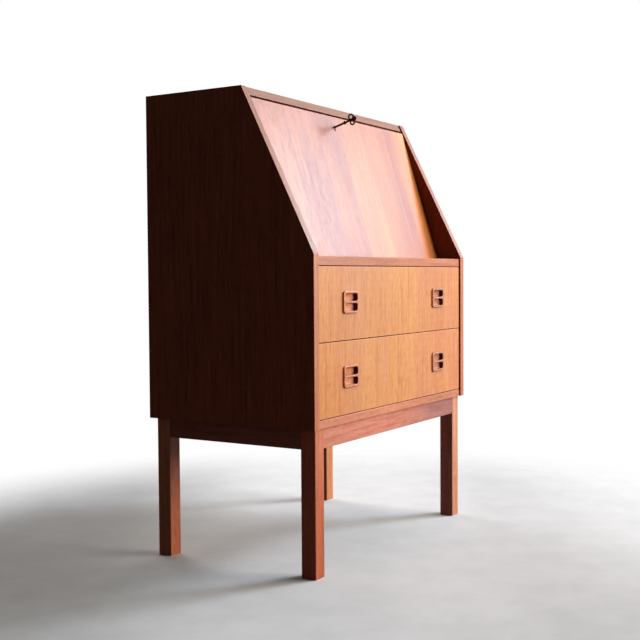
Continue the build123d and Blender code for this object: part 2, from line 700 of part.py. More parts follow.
# The key's stem passes through the flap, and its bow is a trefoil of three pierced loops.
key_tip = hollow_back + KEY_TIP_GAP
stem_end = flap_half_thickness + KEY_STEM_LENGTH
bow_plane = Plane(origin=key_plane.origin, x_dir=key_plane.z_dir, z_dir=key_plane.x_dir)
side_loops = [(stem_end, BOW_SPREAD), (stem_end, -BOW_SPREAD)]
end_loop = (stem_end + BOW_REACH, 0)
with BuildPart() as key:
    with BuildSketch(key_plane.offset(key_tip)):
        Circle(KEY_STEM_RADIUS)
    extrude(amount=stem_end - BOW_LOOP_RADIUS / 2 - key_tip)
    with BuildSketch(key_plane.offset(flap_half_thickness + COLLAR_PLACE)):
        Circle(COLLAR_RADIUS)
    extrude(amount=COLLAR_LENGTH)
    block(
        (-KEY_BIT_THICKNESS / 2, -KEY_BIT_REACH, bolt_layer - KEY_BIT_LENGTH / 2),
        (KEY_BIT_THICKNESS / 2, 0, bolt_layer + KEY_BIT_LENGTH / 2),
        frame=key_plane,
    )
    with BuildSketch(bow_plane.offset(-BOW_THICKNESS / 2)):
        with Locations(*side_loops):
            Circle(BOW_LOOP_RADIUS)
        with Locations(end_loop):
            Circle(BOW_END_RADIUS)
        with Locations(*side_loops):
            Circle(BOW_LOOP_RADIUS - BOW_BAND, mode=Mode.SUBTRACT)
        with Locations(end_loop):
            Circle(BOW_END_RADIUS - BOW_END_BAND, mode=Mode.SUBTRACT)
    extrude(amount=BOW_THICKNESS)
keep(key.part, "key")


def drawer_side_outline(foot):
    """A drawer side seen from its own side: a board with dovetails on its front end."""
    low = foot + DRAWER_SIDE_RISE
    middle_y = (drawer_front_inner + drawer_rear) / 2
    with Locations((middle_y, low + drawer_side_height / 2)):
        Rectangle(drawer_rear - drawer_front_inner, drawer_side_height)
    tail_outlines(foot)


def tail_outlines(foot):
    """The dovetails alone, wide towards the drawer's face."""
    pitch = drawer_side_height / TAIL_COUNT
    wide = pitch - PIN_WIDTH
    narrow = wide - 2 * TAIL_LENGTH * tan(radians(TAIL_ANGLE))
    tail_end = drawer_front_inner - TAIL_LENGTH
    for number in range(TAIL_COUNT):
        middle = foot + DRAWER_SIDE_RISE + pitch * (number + 0.5)
        Polygon(
            (drawer_front_inner, middle - narrow / 2),
            (drawer_front_inner, middle + narrow / 2),
            (tail_end, middle + wide / 2),
            (tail_end, middle - wide / 2),
            align=None,
        )


def drawer(name, foot):
    """The seven pieces of a large drawer: front, two dovetailed sides, back, bottom and two pulls."""
    middle = foot + drawer_front_height / 2
    side_low = foot + DRAWER_SIDE_RISE
    side_high = side_low + drawer_side_height
    bottom_under = side_low + DRAWER_BOTTOM_RISE
    bottom_high = bottom_under + DRAWER_BOTTOM_THICKNESS
    runner_middle = side_low + drawer_side_height / 2
    runner_half = RUNNER_HEIGHT / 2
    pull_spots = {
        side: (sign * (inner_half - PULL_INSET), middle + PULL_RISE) for side, sign in signs.items()
    }
    housed_half = drawer_inner_half + DRAWER_HOUSING

    with BuildPart() as front_board:
        with BuildSketch(Plane.XZ.offset(-face)):
            with Locations((0, middle)):
                Rectangle(2 * drawer_half, drawer_front_height)
        extrude(amount=-DRAWER_FRONT_THICKNESS)
        fillet(front_board.faces().sort_by(Axis.Y)[0].edges(), EDGE_EASE)
        with BuildSketch(Plane.XZ.offset(-face)):
            with Locations(*pull_spots.values()):
                RectangleRounded(
                    PULL_WIDTH + 2 * PULL_FIT,
                    PULL_HEIGHT + 2 * PULL_FIT,
                    PULL_CORNER + PULL_FIT,
                )
        extrude(amount=-PULL_SEAT, mode=Mode.SUBTRACT)
        for sign in signs.values():
            with BuildSketch(Plane.YZ.offset(sign * drawer_inner_half)):
                tail_outlines(foot)
            extrude(amount=sign * DRAWER_SIDE_THICKNESS, mode=Mode.SUBTRACT)
        block(
            (-drawer_inner_half, drawer_front_inner - DRAWER_HOUSING - GLUE_GAP, bottom_under),
            (drawer_inner_half, drawer_front_inner + 1, bottom_high),
            Mode.SUBTRACT,
        )
    keep(front_board.part, f"{name}_drawer_front")

    for side, sign in signs.items():
        outer = sign * drawer_half
        inner = sign * drawer_inner_half
        housed = sign * (housed_half + GLUE_GAP)
        with BuildPart() as side_board:
            with BuildSketch(Plane.YZ.offset(inner)):
                drawer_side_outline(foot)
            extrude(amount=sign * DRAWER_SIDE_THICKNESS)
            block(
                (outer + sign, groove_front, runner_middle - runner_half - RUNNER_CLEARANCE),
                (
                    outer - sign * runner_groove_depth,
                    drawer_rear + 1,
                    runner_middle + runner_half + RUNNER_CLEARANCE,
                ),
                Mode.SUBTRACT,
            )
            block(
                (inner - sign, drawer_front_inner, bottom_under),
                (housed, drawer_rear + 1, bottom_high),
                Mode.SUBTRACT,
            )
            block(
                (inner - sign, drawer_back_front, bottom_high),
                (housed, drawer_back_rear, side_high + 1),
                Mode.SUBTRACT,
            )
        keep(side_board.part, f"{name}_drawer_side_{side}")

        with BuildPart() as runner:
            block(
                (sign * inner_half, groove_front + RUNNER_CLEARANCE, runner_middle - runner_half),
                (sign * (inner_half - RUNNER_DEPTH), drawer_rear, runner_middle + runner_half),
            )
            chamfer(runner.edges().filter_by(Axis.Z).group_by(Axis.Y)[0], EDGE_EASE)
        keep(runner.part, f"{name}_runner_{side}")

    with BuildPart() as back_board:
        with BuildSketch(Plane.XZ.offset(-drawer_back_front)):
            back_high = side_high - DRAWER_BACK_DROP
            with Locations((0, (bottom_high + back_high) / 2)):
                Rectangle(2 * housed_half, back_high - bottom_high)
        extrude(amount=-DRAWER_BACK_THICKNESS)
    keep(back_board.part, f"{name}_drawer_back")

    with BuildPart() as bottom_board:
        with BuildSketch(Plane.XY.offset(bottom_under)):
            with Locations((0, (drawer_front_inner + drawer_rear) / 2)):
                Rectangle(2 * housed_half, drawer_rear - drawer_front_inner)
            with Locations((0, drawer_front_inner - DRAWER_HOUSING / 2)):
                Rectangle(2 * drawer_inner_half, DRAWER_HOUSING)
        extrude(amount=DRAWER_BOTTOM_THICKNESS)
    keep(bottom_board.part, f"{name}_drawer_bottom")

    for side, spot in pull_spots.items():
        keep(pull(spot), f"{name}_pull_{side}")


def pull(spot):
    """An inset pull: a rounded block with two finger holes that join behind the bar between them."""
    pull_face = face - PULL_PROUD
    x, z = spot
    hollow_width = PULL_WIDTH - 2 * PULL_RIM_SIDE
    hollow_height = PULL_HEIGHT - 2 * PULL_RIM_END
    hole_height = (hollow_height - PULL_BAR_HEIGHT) / 2
    hole_rise = (hole_height + PULL_BAR_HEIGHT) / 2
    with BuildPart() as handle:
        with BuildSketch(Plane.XZ.offset(-pull_face)):
            with Locations(spot):
                RectangleRounded(PULL_WIDTH, PULL_HEIGHT, PULL_CORNER)
        extrude(amount=-(PULL_PROUD + PULL_SEAT))
        chamfer(handle.faces().sort_by(Axis.Y)[0].edges(), PULL_BEVEL)
        with BuildSketch(Plane.XZ.offset(-pull_face)):
            with Locations((x, z - hole_rise), (x, z + hole_rise)):
                RectangleRounded(hollow_width, hole_height, PULL_HOLE_CORNER)
        extrude(amount=-PULL_BAR_DEPTH, mode=Mode.SUBTRACT)
        with BuildSketch(Plane.XZ.offset(-pull_face - PULL_BAR_DEPTH)):
            with Locations(spot):
                RectangleRounded(hollow_width, hollow_height, PULL_HOLE_CORNER)
        extrude(amount=PULL_BAR_DEPTH - PULL_HOLLOW_DEPTH, mode=Mode.SUBTRACT)
    return handle.part


for name, foot in drawer_foot.items():
    drawer(name, foot)


def letter_drawer(name, sign):
    """A small drawer that slides on the writing bed, with a finger notch in its front."""
    outer = sign * (inner_half - LETTER_GAP)
    inner = sign * (letter_bay_inner + LETTER_GAP)
    middle = (outer + inner) / 2
    half = abs(outer - inner) / 2
    inner_half_width = half - LETTER_SIDE_THICKNESS
    foot = bed_top + LETTER_RUN_GAP
    head = shelf_under - LETTER_GAP
    side_high = head - LETTER_SIDE_DROP
    front_inner = shelf_front + LETTER_FRONT_THICKNESS
    rebate = LETTER_FRONT_THICKNESS / 2
    rear_end = back_front - LETTER_REAR_GAP
    bottom_under = foot + LETTER_BOTTOM_RISE
    bottom_high = bottom_under + LETTER_BOTTOM_THICKNESS
    housed_half = inner_half_width + LETTER_HOUSING

    with BuildPart() as front_board:
        with BuildSketch(Plane.XZ.offset(-shelf_front)):
            with Locations((middle, (foot + head) / 2)):
                Rectangle(2 * half, head - foot)
            with Locations((middle, head)):
                Circle(NOTCH_RADIUS, mode=Mode.SUBTRACT)
        extrude(amount=-LETTER_FRONT_THICKNESS)
        for edge in (-1, 1):
            block(
                (middle + edge * (half + 1), front_inner - rebate, foot - 1),
                (middle + edge * inner_half_width, front_inner + 1, side_high),
                Mode.SUBTRACT,
            )
        block(
            (middle - inner_half_width, front_inner - LETTER_HOUSING, bottom_under),
            (middle + inner_half_width, front_inner + 1, bottom_high),
            Mode.SUBTRACT,
        )
    keep(front_board.part, f"letter_drawer_{name}_front")

    for side, edge in signs.items():
        with BuildPart() as side_board:
            block(
                (middle + edge * half, front_inner - rebate, foot),
                (middle + edge * inner_half_width, rear_end, side_high),
            )
            block(
                (middle + edge * (inner_half_width - 1), front_inner, bottom_under),
                (middle + edge * housed_half, rear_end + 1, bottom_high),
                Mode.SUBTRACT,
            )
        keep(side_board.part, f"letter_drawer_{name}_side_{side}")

    with BuildPart() as back_board:
        block(
            (middle - inner_half_width, rear_end - LETTER_SIDE_THICKNESS, bottom_high),
            (middle + inner_half_width, rear_end, side_high),
        )
    keep(back_board.part, f"letter_drawer_{name}_back")

    with BuildPart() as bottom_board:
        block(
            (middle - housed_half, front_inner, bottom_under),
            (middle + housed_half, rear_end, bottom_high),
        )
        block(
            (middle - inner_half_width, front_inner - LETTER_HOUSING, bottom_under),
            (middle + inner_half_width, front_inner, bottom_high),
        )
    keep(bottom_board.part, f"letter_drawer_{name}_bottom")


for name, sign in signs.items():
    letter_drawer(name, sign)
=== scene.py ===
# %% [markdown]
# # A secretary desk in teak
# The desk stands on four square legs, with two drawers below and a drop front that leans back above them.
# Its shape comes from CAD, so the lesson starts by loading that model as a fixed frame. Nothing in it is
# moved: the pieces get finishes, and small parts that a CAD model leaves out are added as new surfaces.

# %% Load the frame
import json
import math

import bpy
import numpy as np
from mathutils import Matrix, Vector


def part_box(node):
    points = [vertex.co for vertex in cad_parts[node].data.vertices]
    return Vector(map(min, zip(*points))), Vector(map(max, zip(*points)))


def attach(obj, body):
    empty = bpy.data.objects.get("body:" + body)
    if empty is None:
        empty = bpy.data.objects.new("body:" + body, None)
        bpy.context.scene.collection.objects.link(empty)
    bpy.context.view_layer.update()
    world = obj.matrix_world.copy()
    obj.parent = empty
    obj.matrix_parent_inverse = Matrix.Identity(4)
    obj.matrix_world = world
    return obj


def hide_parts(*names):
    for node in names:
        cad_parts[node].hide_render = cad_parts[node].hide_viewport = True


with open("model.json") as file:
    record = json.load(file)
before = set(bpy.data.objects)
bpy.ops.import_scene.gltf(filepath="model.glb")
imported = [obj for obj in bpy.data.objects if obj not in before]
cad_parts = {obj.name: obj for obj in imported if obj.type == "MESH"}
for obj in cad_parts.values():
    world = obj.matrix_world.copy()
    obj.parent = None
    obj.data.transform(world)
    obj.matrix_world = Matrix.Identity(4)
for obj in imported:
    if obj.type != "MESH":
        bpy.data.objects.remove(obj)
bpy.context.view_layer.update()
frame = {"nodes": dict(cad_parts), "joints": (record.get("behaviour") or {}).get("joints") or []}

nodes = frame["nodes"]
joints = {joint["name"]: joint for joint in frame["joints"]}

# %% [markdown]
# ## Writing materials as sums
# A material in Blender is a graph of nodes. Drawing that graph by hand is slow, so one small class wraps a
# socket of the graph. Adding or multiplying two wires adds a Math node, and one method adds any other node:
# first its type, then its settings, then what goes into its sockets.

# %% A wire of a material's graph


class Wire:
    """A socket in a node tree. Arithmetic with numbers or other wires adds Math nodes to the tree."""

    def __init__(self, tree, socket=None):
        self.tree = tree
        self.socket = socket

    def node(self, kind, settings=None, inputs=None, output=0):
        """Add a node of any type, set it, fill its sockets with values or wires and return one output."""
        made = self.tree.nodes.new(kind)
        for name, value in (settings or {}).items():
            if name == "stops":
                self.set_stops(made.color_ramp, *value)
            else:
                setattr(made, name, value)
        for socket, value in (inputs or {}).items():
            if isinstance(value, Wire):
                self.tree.links.new(value.socket, made.inputs[socket])
            else:
                made.inputs[socket].default_value = value
        return Wire(self.tree, made.outputs[output] if made.outputs else None)

    @staticmethod
    def set_stops(ramp, interpolation, stops):
        """Give a colour ramp its stops, each a place from 0 to 1 and a grey value."""
        ramp.interpolation = interpolation
        while len(ramp.elements) < len(stops):
            ramp.elements.new(1.0)
        for element, (place, grey) in zip(ramp.elements, stops):
            element.position = place
            element.color = (grey, grey, grey, 1.0)

    def other(self, output):
        """Another output of the same node."""
        return Wire(self.tree, self.socket.node.outputs[output])

    def math(self, operation, *values):
        """A Math node."""
        return self.node("ShaderNodeMath", {"operation": operation}, dict(enumerate(values)))

    def __add__(self, other):
        return self.math("ADD", self, other)

    def __radd__(self, other):
        return self.math("ADD", other, self)

    def __sub__(self, other):
        return self.math("SUBTRACT", self, other)

    def __rsub__(self, other):
        return self.math("SUBTRACT", other, self)

    def __mul__(self, other):
        return self.math("MULTIPLY", self, other)

    def __rmul__(self, other):
        return self.math("MULTIPLY", other, self)

    def __truediv__(self, other):
        return self.math("DIVIDE", self, other)

    def __rtruediv__(self, other):
        return self.math("DIVIDE", other, self)

    def step(self, low, high):
        """A smooth step from 0 at low to 1 at high; it runs downwards where low is the larger."""
        sockets = {"Value": self, "From Min": low, "From Max": high}
        return self.node("ShaderNodeMapRange", {"interpolation_type": "SMOOTHSTEP"}, sockets)

    def ramp(self, stops, interpolation):
        """A value along a line, read off stops that each hold a place on the line and a grey value."""
        low, high = stops[0][0], stops[-1][0]
        shares = [((place - low) / (high - low), grey) for place, grey in stops]
        share = (self - low) / (high - low)
        return self.node("ShaderNodeValToRGB", {"stops": (interpolation, shares)}, {0: share})

    def along(self, direction):
        """The length of a vector wire along a direction."""
        sockets = {0: self, 1: tuple(direction)}
        return self.node("ShaderNodeVectorMath", {"operation": "DOT_PRODUCT"}, sockets, "Value")

    def mix(self, share, first, second, blend="MIX"):
        """A colour between two others, or the first times the second where the blend is MULTIPLY."""
        settings = {"data_type": "RGBA", "blend_type": blend}
        return self.node("ShaderNodeMix", settings, {0: share, 6: first, 7: second}, 2)

    def noise(self, x, y, z, detail=2.0, roughness=0.5):
        """Noise from 0 to 1 in three coordinates, which carry their own scale."""
        place = self.node("ShaderNodeCombineXYZ", None, {0: x, 1: y, 2: z})
        sockets = {"Vector": place, "Scale": 1.0, "Detail": detail, "Roughness": roughness}
        return self.node("ShaderNodeTexNoise", None, sockets)


print("reflected operators of a wire:", sum(name.startswith("__r") for name in vars(Wire)))

# %% Opening and closing a finish


def new_finish(name):
    """An empty material, a wire to build it with and the wire of places on the object."""
    material = bpy.data.materials.new(name)
    material.use_nodes = True
    material.node_tree.nodes.clear()
    wire = Wire(material.node_tree)
    return material, wire, wire.node("ShaderNodeTexCoord", None, None, "Object")


def close_finish(wire, sockets, bump, bump_depth):
    """Join colour, roughness and constants in a Principled shader, with a bump height in metres."""
    height = {"Height": bump, "Strength": 1.0, "Distance": bump_depth}
    sockets["Normal"] = wire.node("ShaderNodeBump", None, height)
    shader = wire.node("ShaderNodeBsdfPrincipled", None, sockets)
    wire.node("ShaderNodeOutputMaterial", None, {"Surface": shader})


def rgb(red, green, blue):
    """A linear colour with the alpha that Blender's sockets want."""
    return (red, green, blue, 1.0)


print("white as a socket takes it:", rgb(1.0, 1.0, 1.0))

# %% [markdown]
# ## Teak
# Teak veneer is sliced thin and laid side by side in leaves, so every leaf has its own streaks, and its tone
# drifts between golden and rosy across the board. A photograph would be the quick way to show that. Here it
# is worked out from noise that is stretched along the grain: slow bands, narrow bands, streaks, short flecks,
# fine lines and the dark pores that make teak look like teak. The same recipe serves veneer, solid legs and
# edge strips, because the grain direction is a setting. Where light falls off towards one end of a board, a
# painted tint darkens it there as painted shade; on the drawers the tint stands in for their weaker sheen at
# the left. Where hands and cloths pass, the lacquer wears off along the edges, so a board that knows its
# box gets paler and duller there.

# %% Worn edges and flames

UP = (0.0, 0.0, 1.0)
RIGHT = (1.0, 0.0, 0.0)
BACK = (0.0, 1.0, 0.0)
WORN_FROM, WORN_FULLY = 0.0035, 0.0006
RUBS_PER_METRE = 35.0
FLAME_BEND = 2.2
FLAME_CONTRAST = 0.06
FLAME_FADE = 0.06


def edge_wear(wire, place, box):
    """From 0 to 1 close to an edge of a box: the second smallest of the distances to its three pairs of
    faces falls under a few millimetres there, and noise breaks the line up."""
    spots = [place.along(axis) for axis in (RIGHT, BACK, UP)]
    x, y, z = (wire.math("MINIMUM", spot - near, far - spot) for spot, near, far in zip(spots, *box))
    least = wire.math("MINIMUM", x, y)
    most = wire.math("MAXIMUM", x, y)
    second = wire.math("MAXIMUM", least, wire.math("MINIMUM", most, z))
    rubbed = wire.noise(*(spot * RUBS_PER_METRE for spot in spots), 3.0, 0.6)
    return second.step(WORN_FROM, WORN_FULLY) * rubbed.step(0.35, 0.7)


def flame_rings(wire, side, length, middle, tip, half_width, pitch):
    """Arches where a leaf was sliced flat through the log: rings are parabolas that point up the grain, so
    the ring number is the height below the tip over the pitch, plus the square of the way from the middle."""
    away = (side - middle) / half_width
    rings = (tip - length) / pitch + away * away * FLAME_BEND
    waves = wire.math("SINE", rings * (2 * math.pi)) * FLAME_CONTRAST
    return waves * wire.math("ABSOLUTE", away).step(1.0, 0.4) * length.step(tip + FLAME_FADE, tip)


print("lacquer is worn up to", WORN_FROM, "metres from an edge")

# %% The teak recipe

# Repeats in a metre across and along the grain, octaves of the noise, and how much the finer ones count
GRAIN_LAYERS = {
    "wander": (5.0, 1.4, 1.0, 0.5),
    "slow": (10.0, 3.0, 1.0, 0.5),
    "narrow": (34.0, 3.0, 1.0, 0.5),
    "streak": (105.0, 6.0, 3.0, 0.7),
    "fleck": (170.0, 48.0, 1.0, 0.5),
    "line": (520.0, 4.0, 2.0, 0.5),
    "pore": (1500.0, 55.0, 0.0, 0.5),
}
GRAIN_WANDER = 0.014
LEAF_STEP = 0.1
LEAF_JUMP = 40.0
TEAK_RELIEF = 0.00008


def leaf_numbers(side, seams):
    """A step function across the grain, which rises at every seam between two leaves."""
    steps = [(seams[0] - 1.0, 0.0)]
    steps += [(seam, LEAF_STEP * number) for number, seam in enumerate(seams, start=1)]
    return side.ramp(steps + [(seams[-1] + 1.0, 1.0)], "CONSTANT")


def teak(
    name, grain, across, tones, curve=None, seams=(), gloss=0.4, shine=0.5, seed=0.0,
    bands=1.0, fine=1.0, streaks=1.0, flecks=0.28, flame=None, painted_light_tint=None, box=None,
):
    """Teak with its grain along one direction. The tones are golden, rosy, dark and bright. A curve of places
    across the grain sets where it is golden, and seams start leaves with other streaks. Bands, fine, streaks
    and flecks say how strongly those show. Flame is an arch of rings, the tint of painted light and shade is a
    colour with its share from left to right, and box holds the corners of a board whose edges are worn."""
    golden, rosy, dark, bright = tones
    material, wire, place = new_finish(name)
    length = place.along(grain)
    side = place.along(across)
    depth = place.along(np.cross(grain, across))
    tone = side.ramp(curve, "EASE") if curve else 0.5
    leaf = leaf_numbers(side, seams) * LEAF_JUMP + seed if seams else seed

    def layer(kind):
        """The noise of one layer, at the place in the grain and in the leaf."""
        wide, long, octaves, roughness = GRAIN_LAYERS[kind]
        return wire.noise(side * wide, length * long, depth * wide + leaf, octaves, roughness)

    side = side + (layer("wander") - 0.5) * GRAIN_WANDER
    slow, narrow, streak, fleck, line = map(layer, ("slow", "narrow", "streak", "fleck", "line"))
    pore = layer("pore").step(0.62, 0.74)
    if flame:
        streak = streak + flame_rings(wire, side, length, *flame)

    golden_share = tone + (slow - 0.5) * (1.3 * bands) + (narrow - 0.5) * (1.2 * bands * fine)
    colour = wire.mix(golden_share, rosy, golden)
    colour = wire.mix(narrow.step(0.48, 0.78) * (0.5 * streaks * fine), colour, dark)
    colour = wire.mix(streak.step(0.49, 0.7) * (0.75 * streaks), colour, dark)
    colour = wire.mix(streak.step(0.49, 0.28) * (0.75 * streaks), colour, bright)
    colour = wire.mix(fleck.step(0.52, 0.75) * (flecks * streaks), colour, dark)
    colour = wire.mix(fleck.step(0.48, 0.25) * (flecks * streaks), colour, bright)
    colour = wire.mix(line.step(0.5, 0.78) * (0.25 * streaks), colour, dark)
    colour = wire.mix(pore * 0.35, colour, rgb(*(0.4 * part for part in dark[:3])))
    roughness = gloss + pore * 0.12 + (streak - 0.5) * 0.08
    # A painted tint of light and shade, multiplied in by its share from left to right
    if painted_light_tint:
        tint, shares = painted_light_tint
        colour = wire.mix(place.along(RIGHT).ramp(shares, "EASE"), colour, tint, "MULTIPLY")
    if box:
        worn = edge_wear(wire, place, box)
        colour = wire.mix(worn * 0.45, colour, bright)
        roughness = roughness + worn * 0.15
    sockets = {"Base Color": colour, "Roughness": roughness, "Specular IOR Level": shine}
    close_finish(wire, sockets, line * 0.4 - pore * 0.6, TEAK_RELIEF)
    print("teak:", name)
    return material


print("layers of the grain:", ", ".join(GRAIN_LAYERS))

# %% [markdown]
# ## Tones of the boards
# No two boards of a desk are cut from the same place in a log, so their tones differ, and some tones below
# are painted light and shade: boards that lie in shade are set darker, a few lit parts lighter.
# One tone for all of them would look like paint. So every kind of board has four linear colours of its own,
# golden, rosy, dark and bright, and the veneered fronts have curves that say where each leaf is golden.

# %% Tones of teak


def wood(*colours):
    """The tones of a board, golden, rosy, dark and bright, from their red, green and blue."""
    return tuple(rgb(*colour) for colour in colours)


def shade(tones, red, green, blue):
    """The same tones, with each of the three colours scaled."""
    return tuple(rgb(tone[0] * red, tone[1] * green, tone[2] * blue) for tone in tones)


drawer_tones = wood((0.635, 0.265, 0.064), (0.535, 0.187, 0.078), (0.47, 0.145, 0.032), (0.65, 0.285, 0.115))
flap_tones = wood((0.73, 0.235, 0.045), (0.31, 0.067, 0.031), (0.2, 0.054, 0.028), (0.4, 0.124, 0.034))
# The sides are darker and redder than the fronts: partly a deeper veneer, partly painted shade, as the sides
# stay out of the light
side_tones = wood((0.34, 0.073, 0.031), (0.285, 0.055, 0.023), (0.187, 0.032, 0.013), (0.39, 0.097, 0.042))
# Tones for the sides' faces that look inward and for the flap's stop rail: painted shade, as they lie beside
# and behind the flap
painted_shade_inner_tones = wood((0.18, 0.035, 0.012), (0.15, 0.028, 0.01), (0.1, 0.017, 0.006), (0.21, 0.05, 0.017))
apron_tones = wood((0.68, 0.235, 0.145), (0.575, 0.166, 0.096), (0.4, 0.1, 0.05), (0.74, 0.29, 0.18))
red_tones = wood((0.62, 0.183, 0.085), (0.53, 0.127, 0.053), (0.365, 0.075, 0.028), (0.67, 0.22, 0.106))
pale_tones = wood((0.64, 0.27, 0.155), (0.53, 0.19, 0.1), (0.37, 0.119, 0.06), (0.69, 0.33, 0.19))
upright_tones = wood((0.55, 0.165, 0.058), (0.47, 0.13, 0.046), (0.33, 0.08, 0.028), (0.6, 0.2, 0.08))
strip_tones = wood((0.49, 0.155, 0.061), (0.42, 0.121, 0.048), (0.298, 0.074, 0.029), (0.547, 0.197, 0.082))
slope_tones = wood((0.34, 0.118, 0.055), (0.293, 0.09, 0.042), (0.21, 0.055, 0.025), (0.388, 0.15, 0.072))
edge_tones = wood((0.29, 0.105, 0.048), (0.25, 0.082, 0.038), (0.18, 0.05, 0.023), (0.33, 0.134, 0.063))
# The pulls' tones hold a little more blue than the drawers': partly painted sheen of their rounded rims
pull_tones = wood((0.62, 0.232, 0.09), (0.54, 0.183, 0.071), (0.4, 0.115, 0.043), (0.67, 0.277, 0.113))
# Tones for the end walls of a pull's hollow: painted shade, for the wall that faces left and lies in shade
painted_shade_wall_tones = wood((0.17, 0.022, 0.008), (0.14, 0.016, 0.006), (0.09, 0.009, 0.004), (0.21, 0.032, 0.012))
# Tones for a pull's left flank: bright red, painted light on a side that faces away from the lamps
painted_light_flank_tones = wood((0.86, 0.17, 0.033), (0.73, 0.12, 0.024), (0.5, 0.07, 0.015), (0.92, 0.22, 0.05))
inside_tones = wood((0.5, 0.21, 0.085), (0.42, 0.155, 0.065), (0.3, 0.1, 0.04), (0.58, 0.27, 0.11))

top_tones = shade(strip_tones, 0.88, 0.9, 0.9)
rail_tones = shade(strip_tones, 1.32, 1.47, 1.83)
shaded_tones = shade(red_tones, 0.62, 0.55, 0.65)
rear_tones = shade(pale_tones, 1.16, 1.07, 0.83)
# The floors of the pulls' hollows are painted lighter than the rims: painted light, as the floor is lit
painted_light_hollow_tones = shade(pull_tones, 1.16, 1.2, 1.45)
# A lighter copy for the end wall that faces right: painted shade too, but lit
lit_wall_tones = shade(pull_tones, 0.62, 0.55, 0.55)
print("golden tone of the drawers:", drawer_tones[0])

# %% Leaves and painted tints at the ends

flap_up = Vector(joints["bolt_slide"]["axis"])
drawer_curve = [
    (-0.36, 0.95), (-0.29, 0.9), (-0.262, 0.6), (-0.19, 0.55), (-0.175, 0.7), (-0.11, 0.8), (0.08, 0.95),
    (0.12, 0.45), (0.15, 0.05), (0.19, 0.15), (0.24, 0.2), (0.28, 0.5), (0.36, 0.45),
]
flap_curve = [
    (-0.36, 0.18), (-0.3, 0.22), (-0.255, 0.22), (-0.165, 0.05), (-0.1, 0.28), (-0.06, 0.2), (-0.004, 0.15),
    (0.004, 0.45), (0.1, 0.45), (0.13, 0.3), (0.19, 0.25), (0.225, 0.12), (0.26, 0.3), (0.31, 0.7),
    (0.36, 1.1),
]
drawer_seams = (-0.267, -0.183, -0.05, 0.105, 0.204)
flap_seams = (-0.236, -0.118, 0.0, 0.118, 0.236)
side_seams = (-0.12, -0.01, 0.1)

drawer_shares = [(-0.36, 1.0), (-0.28, 0.9), (-0.23, 0.1), (-0.18, 0.0), (0.36, 0.0)]
rail_shares = [(-0.37, 0.0), (0.1, 0.0), (0.24, 0.4), (0.37, 0.38)]
apron_shares = [(-0.35, 0.06), (-0.1, 0.0), (0.05, 0.2), (0.13, 0.45), (0.2, 0.85), (0.35, 0.95)]
# The drawers' left ends get a painted tint, lower in green and blue, that stands in for their weaker sheen
# there
drawer_painted_tint = (rgb(1.0, 0.9, 0.7), drawer_shares)
# Painted shade on the bottom rail and the front apron, where the light falls off towards the right end
rail_painted_shade = (rgb(0.7, 0.75, 0.85), rail_shares)
apron_painted_shade = (rgb(0.5, 0.55, 0.8), apron_shares)
print("leaves across a drawer:", len(drawer_seams) + 1)

# %% [markdown]
# ## Beech and plywood
# What a drawer hides is made of cheaper wood: pale beech for the boxes and runners, thin plywood for bottoms
# and the back. Teak's recipe would give them streaks that they lack. Beech shows short dark flecks along the
# grain in place of long streaks, so it has a plainer recipe of its own, which serves plywood as well.

# %% Pale woods

PALE_RELIEF = 0.00006


def pale_wood(name, grain, across, light, dark, fleck, fleck_share, seed=0.0):
    """Plain wood with slow bands across the grain and short flecks along it."""
    material, wire, place = new_finish(name)
    length = place.along(grain)
    side = place.along(across)
    depth = place.along(np.cross(grain, across)) + seed
    bands = wire.noise(side * 40.0, length * 1.5, depth * 40.0, 3.0, 0.6)
    threads = wire.noise(side * 500.0, length * 12.0, depth * 500.0, 2.0)
    flecks = wire.noise(side * 900.0, length * 160.0, depth * 900.0, 0.0).step(0.66, 0.76)
    colour = wire.mix(bands.step(0.25, 0.75), dark, light)
    colour = wire.mix(threads.step(0.4, 0.8) * 0.35, colour, dark)
    colour = wire.mix(flecks * fleck_share, colour, fleck)
    sockets = {"Base Color": colour, "Roughness": 0.55 + threads * 0.12}
    close_finish(wire, sockets, threads - flecks * 0.5, PALE_RELIEF)
    print("pale wood:", name)
    return material


beech_look = (rgb(0.6, 0.4, 0.22), rgb(0.48, 0.3, 0.155), rgb(0.28, 0.15, 0.07), 0.55)
beech_deep = pale_wood("beech along the depth", BACK, UP, *beech_look)
beech_wide = pale_wood("beech along the width", RIGHT, UP, *beech_look, seed=3.0)
plywood_look = (rgb(0.5, 0.3, 0.155), rgb(0.38, 0.21, 0.1), rgb(0.2, 0.1, 0.045), 0.35)
plywood_wide = pale_wood("plywood along the width", RIGHT, BACK, *plywood_look, seed=5.0)
plywood_upright = pale_wood("plywood upright", UP, RIGHT, *plywood_look, seed=7.0)

# %% [markdown]
# ## Brass, steel and iron
# The fittings are small: brass pivots, bushes and lock, a steel bolt and a dark iron key. Metal takes its
# colour from what it reflects, so the finish is mostly a matter of roughness. One colour would do from afar.
# Close by, old fittings show tarnish and scratches, so both are added from noise.

# %% Metals

METAL_RELIEF = 0.00002


def metal(name, clean, tarnished, smooth, rough, patches_per_metre):
    """Metal with soft patches of tarnish, which are darker and rougher, and fine scratches."""
    material, wire, place = new_finish(name)
    x, y, z = (place.along(axis) * patches_per_metre for axis in (RIGHT, BACK, UP))
    patches = wire.noise(x, y, z, 4.0, 0.6).step(0.38, 0.68)
    scratches = wire.noise(x * 9.0, y * 9.0, z * 0.6, 2.0)
    colour = wire.mix(patches, clean, tarnished)
    roughness = smooth + patches * (rough - smooth) + scratches * 0.08
    sockets = {"Base Color": colour, "Roughness": roughness, "Metallic": 1.0}
    close_finish(wire, sockets, scratches, METAL_RELIEF)
    print("metal:", name)
    return material


